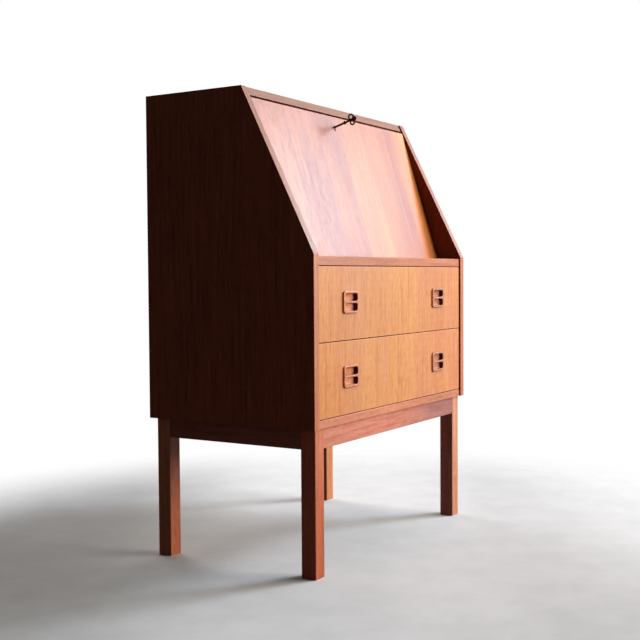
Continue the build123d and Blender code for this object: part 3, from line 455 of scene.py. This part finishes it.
brass = metal("aged brass", rgb(0.72, 0.5, 0.2), rgb(0.42, 0.27, 0.1), 0.24, 0.46, 130.0)
steel = metal("plain steel", rgb(0.5, 0.49, 0.47), rgb(0.3, 0.28, 0.26), 0.3, 0.5, 160.0)
iron = metal("blackened iron", rgb(0.075, 0.05, 0.038), rgb(0.035, 0.022, 0.017), 0.34, 0.55, 220.0)

# %% [markdown]
# ## Putting the finishes on
# A veneered board shows veneer on its faces and a solid strip along its edges. The strips could be modelled
# as pieces of their own, but on the CAD model board and strip are one node. So the node gets several material
# slots, and each triangle is told which to use by the way it faces.

# %% Painting by direction

FLAT = 0.7


def paint(mesh, finish, *others):
    """Give a mesh its finish, and others where a test on the triangles' directions and middles is true."""
    mesh.materials.clear()
    mesh.materials.append(finish)
    facing = np.zeros(len(mesh.polygons) * 3, dtype=np.float32)
    middles = np.zeros(len(mesh.polygons) * 3, dtype=np.float32)
    mesh.polygons.foreach_get("normal", facing)
    mesh.polygons.foreach_get("center", middles)
    slots = np.zeros(len(mesh.polygons), dtype=np.int32)
    for number, (other, test) in enumerate(others, start=1):
        mesh.materials.append(other)
        slots[test(facing.reshape(-1, 3), middles.reshape(-1, 3))] = number
    mesh.polygons.foreach_set("material_index", slots)
    mesh.update()


def dress(node, finish, *others):
    """Paint the mesh of a CAD node."""
    paint(nodes[node].data, finish, *others)


print("a face looks along an axis within", round(math.degrees(math.acos(FLAT))), "degrees")

# %% Boards of the case

SLOPING = 0.2
case_low, case_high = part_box("side_panel_left")
slope_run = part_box("top_panel")[0].y - case_low.y
slope_rise = case_high.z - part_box("desk_board")[1].z
slope = Vector((0.0, slope_run, slope_rise)).normalized()
upright_strip = teak("teak upright strips", UP, RIGHT, upright_tones, seed=15.0)
slope_strip = teak("teak sloping strips", slope, RIGHT, slope_tones, seed=14.0)
level_strip = teak("teak level strips", BACK, RIGHT, strip_tones, seed=16.0)
board_teak = teak("teak boards", RIGHT, BACK, strip_tones, seed=13.0)
matt = {"gloss": 0.5, "shine": 0.2}
side_teak = teak("teak side veneer", UP, BACK, side_tones, seams=side_seams, seed=6.0, **matt)
painted_shade_inner_teak = teak("teak inner faces in painted shade", UP, BACK, painted_shade_inner_tones, seams=side_seams, seed=7.0, **matt)
side_edges = (
    (upright_strip, lambda n, c: np.abs(n[:, 1]) > FLAT),
    (slope_strip, lambda n, c: (n[:, 1] < -FLAT) & (n[:, 2] > SLOPING)),
    (level_strip, lambda n, c: np.abs(n[:, 2]) > FLAT),
)
# Faces that look inward, beside the flap, take the darker inward tones as painted shade
dress("side_panel_left", side_teak, (painted_shade_inner_teak, lambda n, c: n[:, 0] > FLAT), *side_edges)
dress("side_panel_right", side_teak, (painted_shade_inner_teak, lambda n, c: n[:, 0] < -FLAT), *side_edges)
top_edge = teak("teak top edge", RIGHT, BACK, edge_tones, seed=12.0)
top_face = teak("teak top veneer", RIGHT, BACK, top_tones, gloss=0.45, seed=10.0)
dress("top_panel", top_edge, (top_face, lambda n, c: n[:, 2] > FLAT))
dress("desk_board", board_teak)
dress("bottom_panel", teak("teak bottom rail", RIGHT, BACK, rail_tones, seed=11.0, painted_light_tint=rail_painted_shade))
# The stop rail, seen through the gap round the flap, gets the dark inward tones as painted shade
dress("flap_stop_rail", painted_shade_inner_teak)
print("the sloping edge leans back by", round(math.degrees(math.atan2(slope.y, slope.z)), 1), "degrees")

# %% [markdown]
# ## Veneered fronts
# The flap and the two drawers are what one looks at. Their leaves lie side by side with the grain upright, the
# flap's smoother than the drawers'. One leaf of the lower drawer was cut flat through the log, and shows
# arches. All of that is in the recipe's settings, so no front needs a material written for it alone.

# %% Flap and drawers

front_edges = (
    (board_teak, lambda n, c: np.abs(n[:, 2]) > FLAT),
    (upright_strip, lambda n, c: np.abs(n[:, 0]) > FLAT),
)
flap_teak = teak(
    "teak flap veneer", flap_up, RIGHT, flap_tones, flap_curve, flap_seams, seed=3.0,
    bands=0.9, fine=0.4, streaks=0.35, flecks=0.5,
)
dress("flap_panel", flap_teak, *front_edges)

# Middle, tip, half width and pitch of the arches, in metres
ARCHES = (0.02, 0.4, 0.05, 0.05)
drawer_looks = {
    "upper_drawer_front": (None, shade(drawer_tones, 0.975, 0.97, 0.97)),
    "lower_drawer_front": (ARCHES, shade(drawer_tones, 1.01, 1.01, 1.1)),
}
for board, (flame, tones) in drawer_looks.items():
    veneer = teak(
        f"teak {board}", UP, RIGHT, tones, drawer_curve, drawer_seams, flecks=0.55, flame=flame,
        painted_light_tint=drawer_painted_tint, box=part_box(board),
    )
    dress(board, veneer, *front_edges)

# %% [markdown]
# ## Base, inside and fittings
# Legs and aprons are solid teak, sawn from several boards, so each has its own streaks and tone. The side
# aprons, the right end of the front apron and the faces of the front legs that look left carry painted shade
# and light as well. The inside is paler, because no sun has reached it, and drawer boxes, back and fittings
# have their plain finishes. Names of nodes say what they are, so a few tables of name parts choose the
# finish, in place of a line for each node.

# %% Solid teak

SOLID_SEED = 30.0
solid_teak = {
    "leg_front_left": (UP, RIGHT, red_tones), "leg_rear_left": (UP, RIGHT, red_tones),
    "leg_front_right": (UP, RIGHT, pale_tones), "leg_rear_right": (UP, RIGHT, rear_tones),
    "apron_front": (RIGHT, UP, apron_tones), "apron_rear": (RIGHT, UP, apron_tones),
    "apron_left": (BACK, UP, shaded_tones), "apron_right": (BACK, UP, shaded_tones),
}
# Tones for the faces of the front legs that look left: painted light of the floor's bounce on the right leg,
# painted shade on the left leg
painted_left_face_tones = {
    "leg_front_left": shade(red_tones, 1.0, 0.7, 0.7),
    "leg_front_right": shade(pale_tones, 1.36, 1.1, 1.3),
}
for number, name in enumerate(nodes):
    if name in solid_teak:
        own = {"seed": SOLID_SEED + number, "box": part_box(name)}
        grain, across, tones = solid_teak[name]
        painted_light_tint = apron_painted_shade if name == "apron_front" else None
        finish = teak(f"teak {name}", grain, across, tones, painted_light_tint=painted_light_tint, **own)
        others = []
        if name in painted_left_face_tones:
            left_face = teak(f"teak {name} left face", UP, BACK, painted_left_face_tones[name], **own)
            others = [(left_face, lambda n, c: n[:, 0] < -FLAT)]
        dress(name, finish, *others)

# %% Inside, pale woods and metals

inside_teak = teak("teak inside", RIGHT, BACK, inside_tones, seed=19.0)
inside_upright = teak("teak inside uprights", BACK, UP, inside_tones, seed=21.0)
starts = {
    "writing_bed": inside_teak, "interior_shelf": inside_teak, "interior_divider": inside_upright,
    "letter_drawer_left_front": inside_teak, "letter_drawer_right_front": inside_teak,
    "back_panel": plywood_upright, "base_cleat": beech_deep, "lock_bolt": steel,
    "pivot_bush": brass, "flap_pivot": brass, "lock_case": brass, "strike_plate": brass,
}
ends = {"_back": beech_wide, "_bottom": plywood_wide, "_side_left": beech_deep, "_side_right": beech_deep}
for name in nodes:
    for start, finish in starts.items():
        if name.startswith(start):
            dress(name, finish)
    for end, finish in ends.items():
        if "drawer" in name and name.endswith(end):
            dress(name, finish)
    if "_runner_" in name:
        dress(name, beech_deep)
print("materials:", len(bpy.data.materials))

# %% [markdown]
# ## New surfaces
# Small parts could be put together from cylinders and spheres, but real ones flow into each other. Here they
# are worked out as grids of points: a curve is carried along a path, and both are formulas. The grid's first
# direction runs round the curve and closes on itself. Points that fall together are merged, so a curve that
# shrinks to nothing closes the end of a tube.

# %% Surfaces from grids

MERGED_WITHIN = 1e-7
SHARP_ANGLE = math.radians(40)


def surface(name, grids):
    """One mesh from grids of points. Quads join neighbours, the first direction wraps round, equal points
    are merged so that poles and seams close, and triangles without area are dropped."""
    corners = []
    quads = []
    start = 0
    for points in grids:
        rows, columns = points.shape[:2]
        row = np.arange(rows)[:, None]
        column = np.arange(columns - 1)[None, :]
        here = row * columns + column
        there = (row + 1) % rows * columns + column
        quads.append(np.stack([here, there, there + 1, here + 1], axis=-1).reshape(-1, 4) + start)
        corners.append(points.reshape(-1, 3))
        start += rows * columns
    corners = np.concatenate(corners)
    quads = np.concatenate(quads)
    keys = np.round(corners / MERGED_WITHIN).astype(np.int64)
    kept, first, merged = np.unique(keys, axis=0, return_index=True, return_inverse=True)
    quads = merged.reshape(-1)[quads]
    triangles = np.concatenate([quads[:, [0, 1, 2]], quads[:, [0, 2, 3]]])
    a, b, c = triangles.T
    triangles = triangles[(a != b) & (b != c) & (c != a)]
    mesh = bpy.data.meshes.new(name)
    mesh.from_pydata(corners[first].tolist(), [], triangles.tolist())
    mesh.polygons.foreach_set("use_smooth", np.ones(len(mesh.polygons), dtype=bool))
    mesh.set_sharp_from_angle(angle=SHARP_ANGLE)
    piece = bpy.data.objects.new(name, mesh)
    bpy.context.scene.collection.objects.link(piece)
    print("surface:", name, len(kept), "points,", len(triangles), "triangles")
    return piece


def turns(count):
    """Angles of a full turn, without the last one, which equals the first."""
    return np.linspace(0.0, 2 * np.pi, count, endpoint=False)


def tube(centres, side, lift, wide, high, count=24, power=2.0):
    """An oval carried along a path. Round each centre it is wide times the cosine along one direction plus
    high times the sine along another; a power above two squares the oval off."""
    turn = turns(count)[:, None, None]
    cosine = np.sign(np.cos(turn)) * np.abs(np.cos(turn)) ** (2 / power)
    sine = np.sign(np.sin(turn)) * np.abs(np.sin(turn)) ** (2 / power)
    return centres + cosine * np.asarray(wide)[:, None] * side + sine * np.asarray(high)[:, None] * lift


print("edges are shown sharp from", round(math.degrees(SHARP_ANGLE)), "degrees on")

# %% [markdown]
# ## The pulls
# A pull is carved from one block and let into the drawer front: a rounded rim, a bar across the middle and one
# scooped hollow behind them, so that fingers close round the bar. The CAD node is that block with plain edges,
# and a bevel on it would give neither the round rim nor the scoop. Here the rim and the border of each finger
# hole are squared ovals carried round a rectangle with round corners, and they run into each other along the
# rim and the bar. The hollow is a profile carried round such a rectangle: up the outside of the block, over
# its edge, down the wall and through a cove to the floor.

# %% Rims and hollows, in millimetres

MM = 0.001
PLANE = np.array([RIGHT, UP])
# Half width, half height and corner of a middle line, then half the thickness of the bead that follows it
RIM = (30.4, 21.9, 5.4, 2.6)
HOLE = (29.4, 11.0, 8.4, 2.4)
HOLE_RISE = 10.9
BEAD_HALF_DEPTH = 2.8
# Half width, half height and corner of the block, then depths of its back, edge and floor, and the cove
BLOCK = (33.0, 24.5, 8.0, 18.0, 4.2, 10.5, 5.5)
END_WALL, LONG_WALL, HOLLOW_CORNER = 5.5, 4.5, 6.0


def rounded(half_wide, half_high, corner):
    """Points round a rectangle with round corners and the directions that face outwards there: four quarter
    turns of the corner's radius, each moved out by the straight lengths that are left."""
    quarter, share = np.meshgrid(np.arange(4), np.linspace(0.0, 1.0, 9), indexing="ij")
    turn = 0.5 * np.pi * (quarter + share).reshape(-1)
    middle = 0.5 * np.pi * (quarter + 0.5).reshape(-1)
    outward = np.stack([np.cos(turn), np.sin(turn)], axis=-1)
    straight = np.array([half_wide - corner, half_high - corner])
    return np.sign(np.stack([np.cos(middle), np.sin(middle)], axis=-1)) * straight + corner * outward, outward


def border(middle, half_wide, half_high, corner, half_size):
    """A squared oval carried round a rounded rectangle. The sizes are those of its middle line."""
    points, outward = rounded(half_wide, half_high, corner)
    points = np.append(points, points[:1], axis=0)
    outward = np.append(outward, outward[:1], axis=0)
    one = np.ones(len(points)) * MM
    path = middle + points @ PLANE * MM
    return tube(path, outward @ PLANE, np.array(BACK), half_size * one, BEAD_HALF_DEPTH * one, 20, 3.5)


def hollow(middle, half_wide, half_high, corner, back, edge, floor, cove):
    """A tray: loops that start in the middle of the back, go up the outside, over the edge, down the wall and
    along a quarter circle to the floor, each a rounded rectangle at its own depth."""
    outer = rounded(half_wide, half_high, corner)[0]
    inner_wide, inner_high = half_wide - END_WALL, half_high - LONG_WALL
    turn = np.linspace(0.0, 0.5 * np.pi, 8)
    insets = cove * (1.0 - np.cos(turn))
    inner = [rounded(inner_wide - inset, inner_high - inset, HOLLOW_CORNER - inset)[0] for inset in insets]
    loops = [0.0 * outer, outer, outer, inner[0]] + inner + [0.0 * outer]
    depths = np.concatenate([[back, back, edge, edge], floor - cove + cove * np.sin(turn), [floor]])
    return middle + (np.stack(loops, axis=1) @ PLANE + depths[:, None] * np.array(BACK)) * MM


print("points round a rim:", len(rounded(*RIM[:3])[0]))

# %% Finishes of the pulls

SIDEWAYS = 0.5
INSIDE_FROM = 4.3 * MM
FLANK_WIDTH = 3.0 * MM
# The right-hand pulls are tinted darker and bluer: painted shade, as the light falls off towards the right
pull_painted_shade = {"left": (1.0, 1.0, 1.0), "right": (0.74, 0.82, 1.02)}
pull_teaks = {}
painted_light_hollow_teaks = {}
for hand, tint in pull_painted_shade.items():
    pull_teaks[hand] = teak(f"teak {hand} pulls", RIGHT, UP, shade(pull_tones, *tint), seed=17.0)
    # Painted light on the hollow floors
    painted_light_floor_tones = shade(painted_light_hollow_tones, *tint)
    painted_light_hollow_teaks[hand] = teak(f"teak {hand} hollows with painted light", RIGHT, UP, painted_light_floor_tones, seed=18.0, shine=0.2)
# Painted light on the left flanks, which face away from the lamps
painted_light_flank_teak = teak("teak pull flanks with painted light", UP, BACK, painted_light_flank_tones, seed=20.0)
# End walls of the hollow: a shaded and a lit copy, both painted shade
painted_shade_wall_teak = teak("teak end grain with painted shade", UP, BACK, painted_shade_wall_tones, seed=18.0, shine=0.1)
lit_wall_teak = teak("teak end grain with painted shade in the light", UP, BACK, lit_wall_tones, seed=18.0, shine=0.1)


def paint_pull(piece, hand, low, middle_x):
    """Block, floor of the hollow, left flank and the two end walls of the hollow each have their finish. The
    floor carries painted light, the left flank a painted light tone on a side that faces away from the lamps,
    and the end walls painted shade, darker on the wall that faces left.
    """
    def within(c):
        return np.abs(c[:, 0] - middle_x) < HOLE[0] * MM

    inside = (painted_light_hollow_teaks[hand], lambda n, c: c[:, 1] > low.y + INSIDE_FROM)
    flank = (painted_light_flank_teak, lambda n, c: (n[:, 0] < -SIDEWAYS) & (c[:, 0] < low.x + FLANK_WIDTH))
    wall = (painted_shade_wall_teak, lambda n, c: (n[:, 0] < -SIDEWAYS) & within(c))
    lit_wall = (lit_wall_teak, lambda n, c: (n[:, 0] > SIDEWAYS) & within(c))
    paint(piece.data, pull_teaks[hand], inside, flank, wall, lit_wall)


# %% Carved pulls

for drawer in ("upper", "lower"):
    for hand in ("left", "right"):
        node = f"{drawer}_pull_{hand}"
        low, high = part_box(node)
        front = np.array(0.5 * (low + high))
        front[1] = low.y
        crest = front + BEAD_HALF_DEPTH * MM * np.array(BACK)
        holes = [border(crest + rise * MM * np.array(UP), *HOLE) for rise in (-HOLE_RISE, HOLE_RISE)]
        piece = surface(f"carved_{node}", [border(crest, *RIM), hollow(front, *BLOCK)] + holes)
        paint_pull(piece, hand, low, front[0])
        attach(piece, f"{drawer}_drawer")
        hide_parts(node)

# %% [markdown]
# ## The key
# Such a key is cast and filed by hand: a round stem with a bead, and a bow of three small rings in clover
# shape. Ready-made rings and rods would do, but they would only stand beside each other. Here the stem is an
# oval carried along the lock's axis, and every ring is an oval carried round a circle. The rings run into
# each other, as they do in a casting.

# %% Iron key

right = np.array(RIGHT)
up = np.array(flap_up)
hub = np.array(joints["key_turn"]["pos_m"])
out = -np.array(joints["key_turn"]["axis"])
RING_POINTS = 41


def ring(reach, rise, radius, thick, wide):
    """An oval carried round a circle that lies in the plane of the key's axis and the flap. Its middle is
    reach along the axis and rise up the flap from the hub."""
    turn = np.linspace(0.0, 2 * np.pi, RING_POINTS)[:, None]
    radial = np.cos(turn) * out + np.sin(turn) * up
    middle = hub + reach * MM * out + rise * MM * up
    one = np.ones(RING_POINTS) * MM
    return tube(middle + radius * MM * radial, radial, right, thick * one, wide * one, 16)


# Places along the stem in millimetres from the hub, for its tip, its bead and its end, and the radius there
bead = np.linspace(0.0, np.pi, 13)
stem_reach = np.concatenate([[-8.0, -8.0, -7.4], 40.5 - 3.0 * np.cos(bead), [46.0, 55.0, 56.0]])
stem_radius = np.concatenate([[0.0, 2.1, 2.6], 2.5 + 1.8 * np.sin(bead), [2.3, 2.1, 0.0]])
stem = tube(hub + stem_reach[:, None] * MM * out, right, up, stem_radius * MM, stem_radius * MM)
# The bit is a squared oval carried straight down from the stem
BIT_REACH, BIT_PLACE, BIT_HALF_LENGTH = 8.0, 4.5, 2.5
bit_drop = np.array([0.0, 0.0, BIT_REACH, BIT_REACH])[:, None] * MM
bit_size = np.array([0.0, 1.0, 1.0, 0.0]) * MM
bit_path = hub - BIT_PLACE * MM * out - bit_drop * up
bit = tube(bit_path, right, out, bit_size, BIT_HALF_LENGTH * bit_size, 24, 9.0)
bow = [ring(60.0, 7.2, 6.0, 2.1, 1.9), ring(60.0, -6.6, 5.4, 2.0, 1.9), ring(67.5, 0.0, 3.1, 2.8, 1.9)]
key = surface("iron_key", [stem, bit] + bow)
key.data.materials.append(iron)
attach(key, "key")
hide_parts("key")

# %% [markdown]
# ## The keyhole
# A thin dark iron rim lines the keyhole; it is painted shade, a dark edge that stands in for the shade in the
# hole. It could be cut from a plate, but it is so narrow that a bent wire shows the same: its path goes round
# the hole and down the slot for the key's bit, and a small flat oval is carried along it.

# %% Rim of the keyhole

KEYHOLE_RADIUS, SLOT_RADIUS, SLOT_DROP, SLOT_ANGLE = 4.2, 2.5, 7.5, 1.05
RIM_HALF_WIDTH, RIM_HALF_HEIGHT = 1.0, 0.3
flap_mesh = nodes["flap_panel"].data
flap_points = np.zeros(len(flap_mesh.vertices) * 3, dtype=np.float32)
flap_mesh.vertices.foreach_get("co", flap_points)
flap_face = ((flap_points.reshape(-1, 3) - hub) @ out).max()
print("flap's face before the middle of the board:", round(float(flap_face) / MM, 2), "mm")

# The path is most of a circle and then half of a smaller one below it; sideways is square to the path
arc = np.linspace(-SLOT_ANGLE, np.pi + SLOT_ANGLE, 33)
foot = np.linspace(np.pi, 2 * np.pi, 13)
across_hole = np.concatenate([KEYHOLE_RADIUS * np.cos(arc), SLOT_RADIUS * np.cos(foot)]) * MM
up_hole = np.concatenate([KEYHOLE_RADIUS * np.sin(arc), SLOT_RADIUS * np.sin(foot) - SLOT_DROP]) * MM
across_hole = np.append(across_hole, across_hole[0])
up_hole = np.append(up_hole, up_hole[0])
sideways = np.gradient(up_hole)[:, None] * right - np.gradient(across_hole)[:, None] * up
sideways = sideways / np.linalg.norm(sideways, axis=1)[:, None]
seam = sideways[0] + sideways[-1]
sideways[0] = sideways[-1] = seam / np.linalg.norm(seam)
centres = hub + flap_face * out + across_hole[:, None] * right + up_hole[:, None] * up
one = np.ones(len(centres)) * MM
# A dark iron rim that stands in for the shade at the keyhole's edge
rim = surface("keyhole_painted_shade_rim", [tube(centres, sideways, -out, RIM_HALF_WIDTH * one, RIM_HALF_HEIGHT * one, 10)])
rim.data.materials.append(iron)
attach(rim, "flap")

# %% [markdown]
# ## Screws
# Slotted screws hold the back, the base, the stop rail and the lock. A head is turned on a lathe and its slot
# is sawn. Cutting the slot out of a dome would leave ragged triangles, so a head is made here as two half
# domes with a gap between them: the profile of a half dome is carried along the slot, and a thin disc below
# makes the slot's floor.

# %% A slotted screw

SCREW_TURN = 1.9


def screw(spot, out, turned, radius):
    """A dome with a slot. Beside the slot the height is a base plus a rise times one minus the square of the
    way from the middle over the radius; the profile across the slot is carried along it."""
    helper = np.array(BACK) if abs(out[1]) < 0.5 else np.array(RIGHT)
    level = np.cross(helper, out)
    level = level / np.linalg.norm(level)
    along = math.cos(turned) * level + math.sin(turned) * np.cross(out, level)
    across = np.cross(out, along)
    slot, base, rise, sunk = 0.17 * radius, 0.12 * radius, 0.3 * radius, 0.25 * radius
    way = math.sqrt(radius**2 - slot**2) * np.sin(np.linspace(-0.5 * np.pi, 0.5 * np.pi, 13))
    share = np.linspace(0.0, 1.0, 6)[:, None]
    over = slot + share * (np.sqrt(np.maximum(radius**2 - way**2, slot**2)) - slot)
    height = base + rise * (1.0 - (way**2 + over**2) / radius**2)
    over = np.concatenate([over[:1], over, over[-1:]])
    foot = np.full((1, len(way)), -sunk)
    height = np.concatenate([foot, height, foot])
    near = spot + way[:, None] * along + over[:, :, None] * across + height[:, :, None] * out
    far = spot + way[:, None] * along - over[:, :, None] * across + height[:, :, None] * out
    disc = np.array([0.0, 0.96, 0.96, 0.0]) * radius
    disc_height = np.array([-sunk, -sunk, 0.05 * radius, 0.05 * radius])[:, None]
    return [near[::-1], far, tube(spot + disc_height * out, along, across, disc, disc, 20)]


def fasten(name, body, finish, out, radius, spots):
    """Screws that sit on one body and face one way, each turned further than the last."""
    grids = []
    for number, spot in enumerate(spots):
        grids += screw(np.array(spot), np.array(out), SCREW_TURN * number, radius)
    piece = surface(name, grids)
    piece.data.materials.append(finish)
    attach(piece, body)


print("each screw is turned from the last by", round(math.degrees(SCREW_TURN)), "degrees")

# %% Screws in their places

DOWN = (0.0, 0.0, -1.0)
WOOD_SCREW, SMALL_SCREW = 3.4 * MM, 2.2 * MM
BACK_INSET, STRIKE_INSET = 9.0 * MM, 4.5 * MM
LOCK_TOP, LOCK_DEPTH, LOCK_HALF_WIDTH = 28.0 * MM, 4.5 * MM, 32.5 * MM

low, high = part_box("back_panel")
columns = np.linspace(low.x + BACK_INSET, high.x - BACK_INSET, 4)
rows = np.linspace(low.z + BACK_INSET, high.z - BACK_INSET, 6)
spots = [(x, high.y, z) for x in columns for z in (rows[0], rows[-1])]
spots += [(x, high.y, z) for x in (columns[0], columns[-1]) for z in rows[1:-1]]
fasten("back_screws", "case", steel, BACK, WOOD_SCREW, spots)

spots = []
for cleat in ("base_cleat_left", "base_cleat_right"):
    low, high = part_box(cleat)
    spots += [(0.5 * (low.x + high.x), y, low.z) for y in np.linspace(low.y, high.y, 5)[1:-1]]
low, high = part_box("flap_stop_rail")
spots += [(x, 0.5 * (low.y + high.y), low.z) for x in np.linspace(low.x, high.x, 5)[1:-1]]
fasten("under_screws", "case", steel, DOWN, WOOD_SCREW, spots)

low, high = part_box("strike_plate")
spots = [(x, 0.5 * (low.y + high.y), low.z) for x in (low.x + STRIKE_INSET, high.x - STRIKE_INSET)]
fasten("strike_screws", "case", brass, DOWN, SMALL_SCREW, spots)
lock_top = hub + LOCK_TOP * up - LOCK_DEPTH * out
spots = [lock_top + side * LOCK_HALF_WIDTH * right for side in (-1.0, 1.0)]
fasten("lock_screws", "flap", brass, up, SMALL_SCREW, spots)

# %% [markdown]
# ## The floor
# A pale floor carries the shadows of the legs. A large plane would do, but its far edge would draw a horizon,
# so this one fades to nothing at its rim, where the white surroundings take over. Its grey is graded from the
# front right to the back left, as daylight from one side leaves it. Light that bounces off it towards the
# desk is held back, because in the room the floor lies in the desk's own shade.

# %% Pale floor

FLOOR_RADIUS = 4.0
FLOOR_RUN = (-0.5, 0.86, 0.0)
FLOOR_GRADES = [(-0.8, 0.72), (-0.55, 0.7), (-0.15, 0.9), (0.14, 0.98), (0.6, 0.67), (0.9, 0.66)]
FADE_X, FADE_Y, FADE_FROM, FADE_TO = -0.1, -0.15, 0.85, 1.5

# A disc: the radius times the cosine and sine of a turn that runs clockwise, so that it faces up
radius, turn = np.meshgrid(np.linspace(0.0, FLOOR_RADIUS, 3), turns(96))
floor = surface("floor", [np.stack([radius * np.cos(turn), -radius * np.sin(turn), 0.0 * radius], axis=-1)])
material, wire, place = new_finish("pale floor")
x = place.along(RIGHT)
y = place.along(BACK)
mottle = wire.noise(x * 9.0, y * 9.0, 0.0, 5.0, 0.65)
grit = wire.noise(x * 260.0, y * 260.0, 0.0, 2.0)
pale = wire.mix(mottle.step(0.3, 0.7), rgb(0.68, 0.67, 0.67), rgb(0.74, 0.73, 0.73))
pale = wire.mix(grit.step(0.5, 0.8) * 0.25, pale, rgb(0.57, 0.56, 0.56))
pale = wire.mix(place.along(FLOOR_RUN).ramp(FLOOR_GRADES, "EASE"), rgb(0.0, 0.0, 0.0), pale)
path = wire.node("ShaderNodeLightPath", None, None, "Is Camera Ray")
seen = wire.math("MAXIMUM", path, path.other("Is Transmission Ray"))
colour = wire.mix(seen, rgb(0.1, 0.095, 0.09), pale)
shader = wire.node("ShaderNodeBsdfDiffuse", None, {"Color": colour})
clear = wire.node("ShaderNodeBsdfTransparent")
away = wire.math("SQRT", (x - FADE_X) * (x - FADE_X) + (y - FADE_Y) * (y - FADE_Y))
joined = wire.node("ShaderNodeMixShader", None, {0: away.step(FADE_FROM, FADE_TO), 1: shader, 2: clear})
wire.node("ShaderNodeOutputMaterial", None, {"Surface": joined})
floor.data.materials.append(material)

# %% [markdown]
# ## Light
# Daylight falls on the front from the right. A single sun would be quick, but its shadows are hard. So a broad
# soft box in front lights the drawers, a brighter window on the right is what the leaning flap mirrors, two
# weaker boxes reach the top and the back, and the left side stays in deep shade. The surroundings are white
# to the camera, and to a glossy surface they are bright on the right and dark on the left.

# %% Lamps


def soft_box(name, place, target, width, height, radiance, tint):
    """A rectangular lamp that faces a target. Its power is pi times area times radiance."""
    lamp = bpy.data.lights.new(name, "AREA")
    lamp.shape = "RECTANGLE"
    lamp.size = width
    lamp.size_y = height
    lamp.energy = math.pi * width * height * radiance
    lamp.color = tint
    holder = bpy.data.objects.new(name, lamp)
    holder.location = place
    holder.rotation_euler = (Vector(target) - Vector(place)).to_track_quat("-Z", "Y").to_euler()
    bpy.context.scene.collection.objects.link(holder)
    print("lamp:", name, round(lamp.energy, 1), "W")


soft_box("front box", (1.257, -2.795, 1.03), (0.0, -0.1, 0.72), 1.85, 1.1, 13.7, (1.0, 0.933, 0.827))
soft_box("window", (2.205, -1.762, 1.922), (0.0, -0.1, 0.75), 0.92, 1.13, 28.0, (0.8, 0.89, 1.0))
soft_box("ceiling box", (1.95, -0.4, 3.4), (1.95, -0.4, 0.0), 3.0, 3.6, 2.0, (1.0, 0.99, 0.97))
soft_box("rear box", (1.6, 3.2, 2.6), (0.0, 0.2, 0.6), 2.0, 1.4, 5.5, (1.0, 0.98, 0.95))

# %% White surroundings

DARK_SIDE, BRIGHT_SIDE = -0.3, 0.8
AMBIENT_LEFT, AMBIENT_RISE = 0.06, 0.3
MIRROR_LEFT, MIRROR_RISE = 0.02, 0.5

world = bpy.data.worlds.new("studio")
world.use_nodes = True
world.node_tree.nodes.clear()
bpy.context.scene.world = world
wire = Wire(world.node_tree)
rightward = wire.node("ShaderNodeTexCoord", None, None, "Generated").along(RIGHT)
path = wire.node("ShaderNodeLightPath", None, None, "Is Camera Ray")
mirrored = wire.math("MAXIMUM", path.other("Is Glossy Ray"), path.other("Is Transmission Ray"))
bright_side = rightward.step(DARK_SIDE, BRIGHT_SIDE)
ambient = AMBIENT_LEFT + bright_side * AMBIENT_RISE
reflected = MIRROR_LEFT + bright_side * MIRROR_RISE
level = ambient + (reflected - ambient) * mirrored
level = level + (1.0 - level) * path
background = wire.node("ShaderNodeBackground", None, {"Color": rgb(1.0, 1.0, 1.0), "Strength": level})
wire.node("ShaderNodeOutputWorld", None, {"Surface": background})
print("nodes of the surroundings:", len(world.node_tree.nodes))

# %% [markdown]
# ## Camera
# The photograph was taken from the front left, a little above the middle of the desk. A camera can be moved by
# eye until the picture fits. Here its place and turn came from a fit to about thirty corners of the desk in
# the picture, which is more exact.

# %% Camera at the photograph's angle

IMAGE_SIDE = 640
FOCAL_PIXELS = 1060.3
SENSOR = 36.0
EYE = Vector((-2.2382, -1.3709, 0.641))
YAW, PITCH, ROLL = 1.0226, -0.042, -0.0065

forward = Vector((math.sin(YAW) * math.cos(PITCH), math.cos(YAW) * math.cos(PITCH), math.sin(PITCH)))
level_right = Vector((math.cos(YAW), -math.sin(YAW), 0.0))
level_up = level_right.cross(forward)
view_right = math.cos(ROLL) * level_right + math.sin(ROLL) * level_up
view_up = math.cos(ROLL) * level_up - math.sin(ROLL) * level_right
camera_data = bpy.data.cameras.new("camera")
camera_data.sensor_width = SENSOR
camera_data.lens = FOCAL_PIXELS / IMAGE_SIDE * SENSOR
camera_data.clip_start = 0.05
camera_data.clip_end = 60.0
camera = bpy.data.objects.new("camera", camera_data)
camera.matrix_world = Matrix.Translation(EYE) @ Matrix((view_right, view_up, -forward)).transposed().to_4x4()
bpy.context.scene.collection.objects.link(camera)
bpy.context.scene.camera = camera
bpy.context.scene.view_settings.view_transform = "Standard"
print("lens in millimetres:", round(camera_data.lens, 2))

# %% [markdown]
# ## Closing

# %% End
